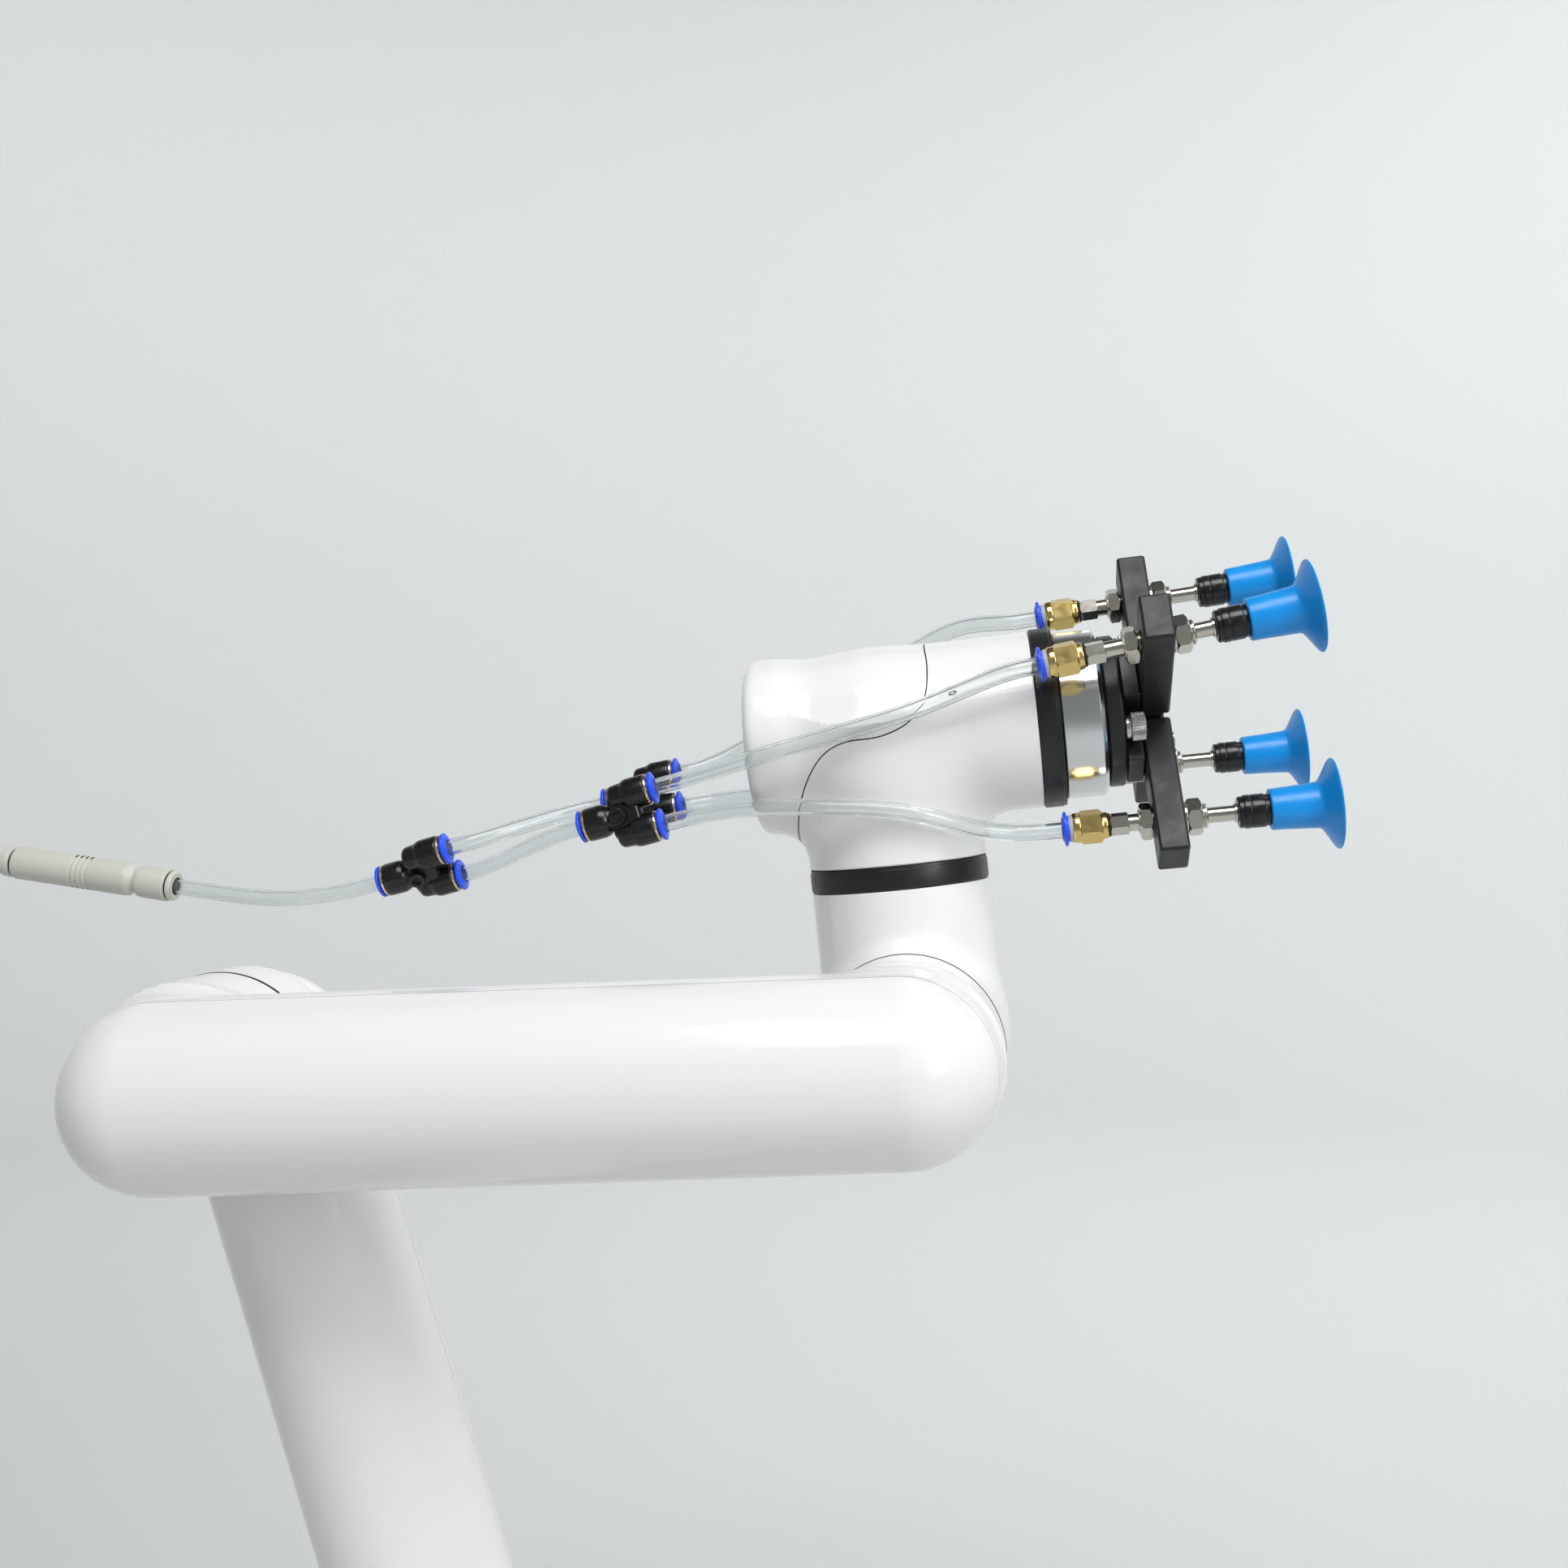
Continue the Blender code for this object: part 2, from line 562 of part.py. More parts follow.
def make_wrist_1(wrist):
    """The column: a boss towards the forearm at its foot, open at its top."""
    body = [(0.0, WRIST_1_TOP), (COLUMN_R, WRIST_1_TOP)]
    foot = arc(0.0, 0.0, COLUMN_R, 0, -90, 6)
    foot[-1] = (0.0, foot[-1][1])
    housing = turned("wrist_1_housing", body + foot, wrist, WHITE, steps=FINE)
    boss = disc("wrist_1_boss", WRIST_STUB_R, 0.0, -WRIST_1_STUB_FACE, wrist, edge=0.6 * MM,
                axis="-y", steps=FINE, cutter=True)
    inner_foot = arc(0.0, 0.0, COLUMN_R - WALL, 0, -90, 4)
    inner_foot[-1] = (0.0, inner_foot[-1][1])
    inner = [(0.0, 80 * MM), (COLUMN_R - WALL, 80 * MM)] + inner_foot
    hollow = turned("wrist_1_hollow", inner, wrist, steps=MEDIUM, cutter=True)
    bore = disc("wrist_1_bore", 20 * MM, 9 * MM, 90 * MM, wrist, axis="-y", cutter=True)
    join(housing, boss)
    cut(housing, hollow, bore)
    drive("joint_5_drive", COLUMN_R - WALL - 1.2 * MM, 4 * MM, WRIST_1_TOP - 0.4 * MM,
          WRIST_1_TOP + 11 * MM, wrist)


def cover_seam_points():
    controls = [(u, 0.0, v) for u, v in COVER_SEAM]
    return [(p.x, p.z) for p in smooth_points(controls, 6 * MM)]


def make_wrist_2(wrist):
    """The tool joint's barrel along X on its column, with an end cover beyond a curved seam."""
    washer("joint_5_seal", RING_R, RING_BORE_R, *J5_RING, wrist, BLACK, edge=0.3 * MM,
           steps=FINE)
    rim = 2.5 * MM
    barrel = [(0.0, WRIST_2_END), (WRIST_2_R, WRIST_2_END), (WRIST_2_R, COVER_END + rim),
              (WRIST_2_R - 0.8 * MM, COVER_END + 0.8 * MM), (WRIST_2_R - rim, COVER_END),
              (0.0, COVER_END)]
    column = disc("wrist_2_column", COLUMN_R, J5_RING[1] + GAP, 0.0, wrist, steps=FINE,
                  cutter=True)
    hollow = disc("wrist_2_hollow", WRIST_2_R - WALL, COVER_END + WALL, 80 * MM, wrist,
                  axis="x", steps=FINE, cutter=True)
    well = disc("wrist_2_well", COLUMN_R - 1.8 * WALL, -80 * MM, -5 * MM, wrist,
                steps=FINE - 4, cutter=True)
    seam = cover_seam_points()
    left = [(-80 * MM, 60 * MM), (-80 * MM, -60 * MM)] + [(u + GAP / 2, v) for u, v in seam]
    right = [(80 * MM, 60 * MM), (80 * MM, -60 * MM)] + [(u - GAP / 2, v) for u, v in seam]
    beyond = outline_prism("beyond_seam", left, -50 * MM, 50 * MM, wrist)
    inside = outline_prism("inside_seam", right, -50 * MM, 50 * MM, wrist)
    housing = turned("wrist_2_housing", barrel, wrist, WHITE, axis="x", steps=FINE)
    join(housing, column)
    cut(housing, hollow, well, beyond)
    cover = turned("wrist_2_end_cover", barrel, wrist, WHITE, axis="x", steps=FINE)
    cut(cover, hollow, inside)
    drive("joint_6_drive", WRIST_2_R - WALL - 1.2 * MM, -12 * MM, WRIST_2_END - 0.4 * MM,
          J6_RING[1], wrist, axis="x")


# --- tool ------------------------------------------------------------------------------------

def make_tool_flange(tool):
    washer("joint_6_seal", RING_R - 0.1 * MM, RING_BORE_R, *J6_RING, tool, BLACK,
           edge=0.3 * MM, axis="x", steps=FINE)
    low, high = FLANGE
    profile = [(0.0, high), (FLANGE_R - 1.2 * MM, high), (FLANGE_R, high - 1.2 * MM),
               (FLANGE_R, low), (0.0, low)]
    turned("tool_flange", profile, tool, ALUMINIUM, axis="x", steps=FINE)
    disc("adapter_disc", ADAPTER_R, *ADAPTER, tool, BLACK, edge=0.8 * MM, axis="x", steps=FINE)


def arm_turn(angle):
    """The rotation about X that takes +Z to a gripper arm's direction."""
    return (math.radians(90 - angle), 0, 0)


def make_gripper(tool, cup_frames):
    first = CUPS["near_top"][0]
    back = ARM_PLANE - ARM_T / 2 - GAP
    half = ARM_W / 2
    hub = block("gripper_hub", (HUB_BACK, -half, -25 * MM), (back, half, 25 * MM), tool, BLACK,
                arm_turn(first), bevel=0.4 * MM)
    other = block("hub_bar", (HUB_BACK, -half + 0.01 * MM, -25 * MM),
                  (back - 0.01 * MM, half - 0.01 * MM, 25 * MM), tool,
                  rotation=arm_turn(first + 90), cutter=True)
    boss = block("hub_boss", (HUB_BACK + 1 * MM, -7.5 * MM, -7.5 * MM),
                 (ARM_PLANE + 3 * MM, 7.5 * MM, 7.5 * MM), tool, rotation=arm_turn(first),
                 cutter=True)
    join(hub, other, boss)
    for name, (angle, _, _) in CUPS.items():
        arm = block(f"gripper_arm_{name}", (ARM_PLANE - ARM_T / 2, -half, ARM_SPAN[0]),
                    (ARM_PLANE + ARM_T / 2, half, ARM_SPAN[1]), tool, BLACK, arm_turn(angle),
                    bevel=1.0 * MM)
        hole = disc(f"arm_hole_{name}", SLEEVE_R + GAP, -20 * MM, 20 * MM, cup_frames[name],
                    axis="x", steps=SMALL, cutter=True)
        cut(arm, hole)


def cup_frame(name, tool):
    """A cup's own frame: on the arm's middle plane, X along the cup."""
    angle, tilt, _ = CUPS[name]
    turn = math.radians(angle)
    spot = (ARM_PLANE, -CUP_CIRCLE_R * math.cos(turn), CUP_CIRCLE_R * math.sin(turn))
    return frame(f"cup_frame_{name}", tool, spot, -math.radians(tilt))


def make_sleeve(name, fixed):
    """The level compensator's threaded sleeve with its two nuts, clamped on the arm."""
    tilt = math.radians(CUPS[name][1])
    clear = GAP + 0.1 * MM + NUT_R * math.sin(tilt)
    stand = max(FRONT_NUT_STAND, clear)
    rear = -ARM_T / 2 - clear
    front = ARM_T / 2 + stand
    back_end = rear - REAR_NUT_T - 0.5 * MM
    sleeve = disc(f"compensator_sleeve_{name}", SLEEVE_R, back_end,
                  front + FRONT_NUT_T + THREAD_END, fixed, NICKEL, edge=0.4 * MM, axis="x",
                  steps=SMALL)
    nuts = (prism(f"rear_nut_{name}", 6, NUT_R, rear - REAR_NUT_T, rear, fixed, cutter=True),
            prism(f"front_nut_{name}", 6, NUT_R, front, front + FRONT_NUT_T, fixed,
                  cutter=True, turn=math.radians(30)))
    bore = disc(f"sleeve_bore_{name}", SLEEVE_BORE_R, -30 * MM, 30 * MM, fixed, axis="x",
                steps=SMALL, cutter=True)
    join(sleeve, *nuts)
    cut(sleeve, bore)


def make_rod_and_cup(name, moving):
    """The sprung rod with its hose fitting behind the arm and its holder and cup in front."""
    start, end = ROD_HEX
    rod = turned(f"compensator_rod_{name}",
                 [(0.0, ROD_TIP), (3.3 * MM, ROD_TIP), (3.3 * MM, ROD_TIP - 0.8 * MM),
                  (2.7 * MM, ROD_TIP - 0.8 * MM), (2.7 * MM, 5 * MM), (3.0 * MM, 4.5 * MM),
                  (3.0 * MM, start + 1 * MM), (0.0, start + 1 * MM)],
                 moving, NICKEL, axis="x", steps=SMALL)
    join(rod, prism(f"rod_hex_{name}", 6, 3.8 * MM, start, end, moving, cutter=True))
    low, high = FITTING
    fitting = turned(f"push_fitting_{name}",
                     [(0.0, high), (4.4 * MM, high), (4.4 * MM, low + 4 * MM),
                      (5.4 * MM, low + 3.8 * MM), (5.4 * MM, low + 3 * MM),
                      (6.0 * MM, low + 2.6 * MM), (6.0 * MM, low + 1 * MM),
                      (5.0 * MM, low), (0.0, low)],
                     moving, BRASS, axis="x", steps=MEDIUM)
    join(fitting, prism(f"fitting_hex_{name}", 6, 6.0 * MM, low + 3.8 * MM, high - 0.9 * MM,
                        moving, cutter=True, turn=math.radians(15)))
    disc(f"cup_holder_{name}", HOLDER_R, *HOLDER, moving, BLACK, edge=0.5 * MM, axis="x")
    floor = CUP_START + 5 * MM
    inside = [(0.0, floor), (4.8 * MM, floor), (5.2 * MM, CUP_NECK),
              (9.0 * MM, CUP_NECK + 1.8 * MM)]
    outside = [(CUP_RIM_R - 0.9 * MM, CUP_RIM), (CUP_RIM_R, CUP_RIM - 0.5 * MM),
               (10.5 * MM, CUP_NECK + 1.4 * MM), (7.9 * MM, CUP_NECK), (7.3 * MM, CUP_START),
               (0.0, CUP_START)]
    turned(f"suction_cup_{name}", inside + outside, moving, BLUE, axis="x", steps=MEDIUM)


# --- vacuum line -----------------------------------------------------------------------------

def splitter_frame(name, wrist):
    """At the inlet's face, X towards the outlets."""
    spot, pitch, roll = SPLITTERS[name]
    obj = frame(f"{name}_frame", wrist, [c * MM for c in spot])
    obj.rotation_mode = "XYZ"
    turn = Matrix.Rotation(-math.radians(pitch), 3, "Y") @ Matrix.Rotation(math.radians(roll), 3,
                                                                          "X")
    obj.rotation_euler = turn.to_euler("XYZ")
    return obj


def fitting_end(name, radius, face, side, parent, lift=0.0):
    """A push-in end that faces +X or -X: a release collar with its flange, then the body."""
    depths = [(0.0, 0.0), (5.3, 0.0), (5.9, 0.4), (5.9, 1.5), (4.6, 1.7), (4.6, 2.4)]
    profile = [(r * MM, face - side * d * MM) for r, d in depths]
    profile += [(radius - 0.5 * MM, face - side * 2.4 * MM), (radius, face - side * 3.2 * MM),
                (radius, face - side * 9 * MM), (radius - 0.6 * MM, face - side * 11.6 * MM),
                (0.0, face - side * 11.6 * MM)]
    if side < 0:
        profile.reverse()
    return turned(name, profile, parent, axis="x", at=(0, 0, lift), steps=SMALL + 1, cutter=True)


def make_splitter(name, wrist):
    """One inlet and two outlets side by side, with a fixing eye between them."""
    own = splitter_frame(name, wrist)
    half = OUTLET_SPACING / 2
    body = disc(name, INLET_R - 0.3 * MM, 10 * MM, 15 * MM, own, BLACK, axis="x", steps=SMALL)
    web = block(f"{name}_web", (13.3 * MM, -4.15 * MM, -9.3 * MM), (25 * MM, 4.15 * MM, 9.3 * MM),
                own, bevel=1.3 * MM, cutter=True)
    eye_at = (SPLITTER_EYE_X, 0, 0)
    eye = disc(f"{name}_eye", SPLITTER_EYE_R, -5.8 * MM, 5.8 * MM, own, axis="y", at=eye_at,
               steps=SMALL, cutter=True)
    inlet = fitting_end(f"{name}_inlet", INLET_R, 0.0, -1, own)
    outlets = [fitting_end(f"{name}_outlet_{i}", OUTLET_R, SPLITTER_LENGTH, 1, own, lift)
               for i, lift in enumerate((half, -half))]
    hole = disc(f"{name}_hole", SPLITTER_HOLE_R, -20 * MM, 20 * MM, own, axis="y", at=eye_at,
                steps=SMALL, cutter=True)
    join(body, web, eye, inlet, *outlets)
    cut(body, hole)
    return own


def make_ejector(wrist):
    """An in-line vacuum generator: hose end, slotted exhaust body, and an open air inlet."""
    start, end = (Vector(p) * MM for p in EJECTOR_ENDS)
    along = end - start
    obj = frame("ejector_frame", wrist, start, math.atan2(-along.z, along.x))
    length = along.length
    r = EJECTOR_R
    profile = [(0.0, length), (5.0 * MM, length), (5.6 * MM, length - 0.6 * MM),
               (5.6 * MM, length - 2.2 * MM), (r - 0.4 * MM, length - 2.6 * MM),
               (r, length - 4 * MM), (r - 0.4 * MM, 58 * MM), (r - 1.6 * MM, 56.5 * MM),
               (r - 1.6 * MM, 55 * MM), (r - 0.2 * MM, 53 * MM), (r, 50 * MM),
               (r, 5.5 * MM), (r - 0.6 * MM, 5 * MM), (5.2 * MM, 5 * MM), (5.2 * MM, 4 * MM),
               (6.0 * MM, 3.6 * MM), (6.0 * MM, 0.6 * MM), (5.4 * MM, 0.0),
               (EJECTOR_BORE_R, 0.0), (EJECTOR_BORE_R, EJECTOR_BORE_DEPTH),
               (0.0, EJECTOR_BORE_DEPTH)]
    body = turned("vacuum_ejector", profile, obj, GREY, axis="x")
    for i in range(4):
        for side in (1, -1):
            x = EXHAUST_START + i * EXHAUST_PITCH
            slot = block(f"exhaust_slot_{i}_{side}", (x, -3.4 * MM, side * r - 1.5 * MM),
                         (x + EXHAUST_SLOT, 3.4 * MM, side * r + 1.5 * MM), obj, cutter=True)
            cut(body, slot)
    return obj


def point_on(parent, spot, wrist):
    """A point given in a piece's frame, in the wrist's frame."""
    bpy.context.view_layer.update()
    place = wrist.matrix_world.inverted() @ parent.matrix_world
    return tuple(place @ Vector(spot))


def mm(*points):
    return [tuple(c * MM for c in p) for p in points]


def make_hoses(wrist, splitters, ejector, rods):
    """Four hoses from the cups to two splitters, two on to the third, one to the ejector."""
    half = OUTLET_SPACING / 2
    lead = 9 * MM

    def outlet(name, side):
        tip = SPLITTER_LENGTH + GAP
        return [point_on(splitters[name], (tip + d, 0, side * half), wrist)
                for d in (lead, 0.0)]

    def inlet(name):
        return [point_on(splitters[name], (-GAP - d, 0, 0), wrist) for d in (lead, 0.0)]

    def cup(name):
        tip = FITTING[0] - GAP
        return [point_on(rods[name], (tip - d, 0, 0), wrist) for d in (0.0, lead)]

    routes = {
        "near_top": mm((30, -37.5, 11), (8, -37.5, 5), (-16, -37, 0.5), (-34, -36.5, -2.8),
                       (-50, -34.5, -5.3), (-63, -24, -7.6)) + outlet("splitter_near", 1),
        "near_bottom": mm((36, -29, -35.5), (16, -36, -30.5), (-6, -37.5, -25.5),
                          (-28, -36, -22.6), (-48, -30, -22.4),
                          (-62, -21, -23)) + outlet("splitter_near", -1),
        "far_top": mm((32, 25, 38.5), (10, 31, 31.5), (-14, 35, 22), (-36, 35.5, 12.5),
                      (-52, 33.5, 6.5), (-63, 26, 2)) + outlet("splitter_far", 1),
        "far_bottom": mm((34, 39.5, -20), (10, 38.5, -18.5), (-14, 38, -18), (-36, 36, -17.5),
                         (-52, 32.5, -17.3), (-64, 25, -17.3)) + outlet("splitter_far", -1),
    }
    for name, route in routes.items():
        hose(f"hose_{name}", cup(name) + route, wrist)
    hose("hose_near_splitter", inlet("splitter_near")[::-1]
         + outlet("splitter_main", -1), wrist)
    hose("hose_far_splitter", inlet("splitter_far")[::-1]
         + outlet("splitter_main", 1), wrist)
    tip = (Vector(EJECTOR_ENDS[1]) - Vector(EJECTOR_ENDS[0])).length * MM
    ejector_end = [point_on(ejector, (tip + GAP + d, 0, 0), wrist) for d in (0.0, lead)]
    hose("hose_ejector", ejector_end + mm((-246, -4, -37.8), (-226, -4, -39.0))
         + inlet("splitter_main"), wrist)


# --- assembly --------------------------------------------------------------------------------

base_frame = frame("base_frame")
shoulder_frame = frame("shoulder_frame", base_frame, (0, 0, SHOULDER_SPLIT_Z))
upper_arm_frame = frame("upper_arm_frame", shoulder_frame,
                        (0, UPPER_ARM_Y, SHOULDER_AXIS_Z - SHOULDER_SPLIT_Z), UPPER_ARM_TILT)
forearm_frame = frame("forearm_frame", upper_arm_frame, (0, FOREARM_OFFSET_Y, UPPER_ARM_LENGTH),
                      FOREARM_TILT - UPPER_ARM_TILT)
wrist_1_frame = frame("wrist_1_frame", forearm_frame, (FOREARM_LENGTH, WRIST_OFFSET_Y, 0),
                      COLUMN_TILT - FOREARM_TILT)
wrist_2_frame = frame("wrist_2_frame", wrist_1_frame, (0, 0, COLUMN_LENGTH))
tool_frame = frame("tool_frame", wrist_2_frame)
cup_frames = {name: cup_frame(name, tool_frame) for name in CUPS}
rod_frames = {name: frame(f"rod_frame_{name}", cup_frames[name], (CUPS[name][2], 0, 0))
              for name in CUPS}

make_base(base_frame)
make_shoulder(shoulder_frame)
make_upper_arm(upper_arm_frame)
make_forearm(forearm_frame)
make_wrist_1(wrist_1_frame)
make_wrist_2(wrist_2_frame)
make_tool_flange(tool_frame)
make_gripper(tool_frame, cup_frames)
for cup_name in CUPS:
    make_sleeve(cup_name, cup_frames[cup_name])
    make_rod_and_cup(cup_name, rod_frames[cup_name])
splitter_frames = {name: make_splitter(name, wrist_2_frame) for name in SPLITTERS}
ejector_frame = make_ejector(wrist_2_frame)
make_hoses(wrist_2_frame, splitter_frames, ejector_frame, rod_frames)
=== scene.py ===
"""Looks for the desktop robot arm with its four-cup vacuum gripper.

Metres, in the frame of the CAD.  Every group of pieces is drawn in the frame of its own joint:
the joints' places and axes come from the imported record.
"""
import json
import math

import bmesh
import bpy
import numpy as np
from mathutils import Matrix, Vector


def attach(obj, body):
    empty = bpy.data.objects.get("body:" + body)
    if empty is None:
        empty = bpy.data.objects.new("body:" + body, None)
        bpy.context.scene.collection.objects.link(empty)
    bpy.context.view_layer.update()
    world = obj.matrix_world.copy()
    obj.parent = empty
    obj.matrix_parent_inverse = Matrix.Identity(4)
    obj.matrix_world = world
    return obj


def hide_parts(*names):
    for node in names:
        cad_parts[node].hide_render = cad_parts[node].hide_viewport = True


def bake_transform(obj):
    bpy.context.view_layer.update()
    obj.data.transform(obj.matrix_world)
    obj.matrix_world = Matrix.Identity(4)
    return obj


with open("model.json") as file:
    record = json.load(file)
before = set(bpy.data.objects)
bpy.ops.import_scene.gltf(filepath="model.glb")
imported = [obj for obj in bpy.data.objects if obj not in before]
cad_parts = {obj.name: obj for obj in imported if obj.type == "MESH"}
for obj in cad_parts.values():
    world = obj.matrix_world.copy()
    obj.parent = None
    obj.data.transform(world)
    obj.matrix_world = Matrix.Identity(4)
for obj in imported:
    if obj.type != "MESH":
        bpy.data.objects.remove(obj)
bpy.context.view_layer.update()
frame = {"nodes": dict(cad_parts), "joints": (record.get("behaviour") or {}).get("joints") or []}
MM = 0.001
SEAM = 0.45 * MM          # gap between two shells
WORLD = Matrix.Identity(4)


# --- frames ----------------------------------------------------------------------------------

def joint(name):
    return next(j for j in frame["joints"] if j["name"] == name)


def placed(origin, x_axis, z_axis):
    """A frame at a point, with its Z as given and its X as near as may be to the one given."""
    z = Vector(z_axis).normalized()
    y = z.cross(Vector(x_axis)).normalized()
    matrix = Matrix((y.cross(z), y, z)).transposed().to_4x4()
    matrix.translation = origin
    return matrix


SHOULDER_AT = Vector(joint("shoulder_tilt")["pos_m"])
ELBOW_AT = Vector(joint("elbow_tilt")["pos_m"])
WRIST_AT = Vector(joint("wrist_tilt")["pos_m"])
TOOL_AT = Vector(joint("tool_turn")["pos_m"])
COLUMN_AXIS = Vector(joint("wrist_turn")["axis"])
TOOL_AXIS = Vector(joint("tool_turn")["axis"])
FLAT = Vector((1, 0, 1))   # takes a point into the plane that the arm bends in

upper_arm_axis = (ELBOW_AT - SHOULDER_AT) * FLAT
forearm_axis = (WRIST_AT - ELBOW_AT) * FLAT
UPPER_ARM = placed(SHOULDER_AT, upper_arm_axis.cross(Vector((0, 1, 0))) * -1, upper_arm_axis)
FOREARM = placed(ELBOW_AT, forearm_axis, forearm_axis.cross(Vector((0, 1, 0))))
WRIST_1 = placed(WRIST_AT, TOOL_AXIS, COLUMN_AXIS)
WRIST_2 = placed(TOOL_AT, TOOL_AXIS, COLUMN_AXIS)
UPPER_ARM_LENGTH = upper_arm_axis.length
FOREARM_LENGTH = forearm_axis.length


# --- materials -------------------------------------------------------------------------------

def srgb(red, green, blue):
    """A colour as the eye reads it, 0 to 1, turned into the linear values that shaders use."""
    return tuple(((c + 0.055) / 1.055) ** 2.4 if c > 0.04045 else c / 12.92
                 for c in (red, green, blue))


class Finish:
    """A procedural material: one shader with a few layers of noise."""

    def __init__(self, name, color, roughness, metallic=0.0, **sockets):
        self.material = bpy.data.materials.new(name)
        self.material.use_nodes = True
        self.nodes = self.material.node_tree.nodes
        self.links = self.material.node_tree.links
        self.shader = self.nodes["Principled BSDF"]
        self.color = (*color, 1.0)
        self.set("Base Color", self.color)
        self.set("Roughness", roughness)
        self.set("Metallic", metallic)
        for socket, value in sockets.items():
            self.set(socket.replace("_", " "), value)
        self.place = self.nodes.new("ShaderNodeTexCoord").outputs["Object"]
        self.normal = None

    def set(self, socket, value):
        self.shader.inputs[socket].default_value = value

    def noise(self, size, detail=4.0, stretch=(1, 1, 1)):
        """Noise whose features are about that size, in metres."""
        mapping = self.nodes.new("ShaderNodeMapping")
        mapping.inputs["Scale"].default_value = tuple(s / size for s in stretch)
        self.links.new(self.place, mapping.inputs["Vector"])
        texture = self.nodes.new("ShaderNodeTexNoise")
        texture.inputs["Scale"].default_value = 1.0
        texture.inputs["Detail"].default_value = detail
        self.links.new(mapping.outputs["Vector"], texture.inputs["Vector"])
        return texture.outputs["Fac"]

    def rings(self, size, axis="X"):
        """Bands across one of the object's axes, as a lathe tool leaves them."""
        wave = self.nodes.new("ShaderNodeTexWave")
        wave.wave_type = "BANDS"
        wave.bands_direction = axis
        wave.inputs["Scale"].default_value = 0.314 / size
        wave.inputs["Distortion"].default_value = 0.4
        wave.inputs["Detail"].default_value = 3.0
        self.links.new(self.place, wave.inputs["Vector"])
        return wave.outputs["Fac"]

    def vary(self, socket, source, low, high):
        """Run a socket between two values with a texture."""
        spread = self.nodes.new("ShaderNodeMapRange")
        spread.inputs["From Min"].default_value = 0.3
        spread.inputs["From Max"].default_value = 0.7
        spread.inputs["To Min"].default_value = low
        spread.inputs["To Max"].default_value = high
        self.links.new(source, spread.inputs["Value"])
        self.links.new(spread.outputs["Result"], self.shader.inputs[socket])
        return self

    def tint(self, source, other):
        """Shift the colour towards another with a texture."""
        mix = self.nodes.new("ShaderNodeMix")
        mix.data_type = "RGBA"
        mix.inputs["A"].default_value = self.color
        mix.inputs["B"].default_value = (*other, 1.0)
        self.links.new(source, mix.inputs["Factor"])
        self.links.new(mix.outputs["Result"], self.shader.inputs["Base Color"])
        return self

    def bump(self, source, depth):
        """Raise the surface by a texture; depth in metres."""
        bump = self.nodes.new("ShaderNodeBump")
        bump.inputs["Strength"].default_value = 1.0
        bump.inputs["Distance"].default_value = depth
        self.links.new(source, bump.inputs["Height"])
        if self.normal is not None:
            self.links.new(self.normal, bump.inputs["Normal"])
        self.normal = bump.outputs["Normal"]
        self.links.new(self.normal, self.shader.inputs["Normal"])
        return self


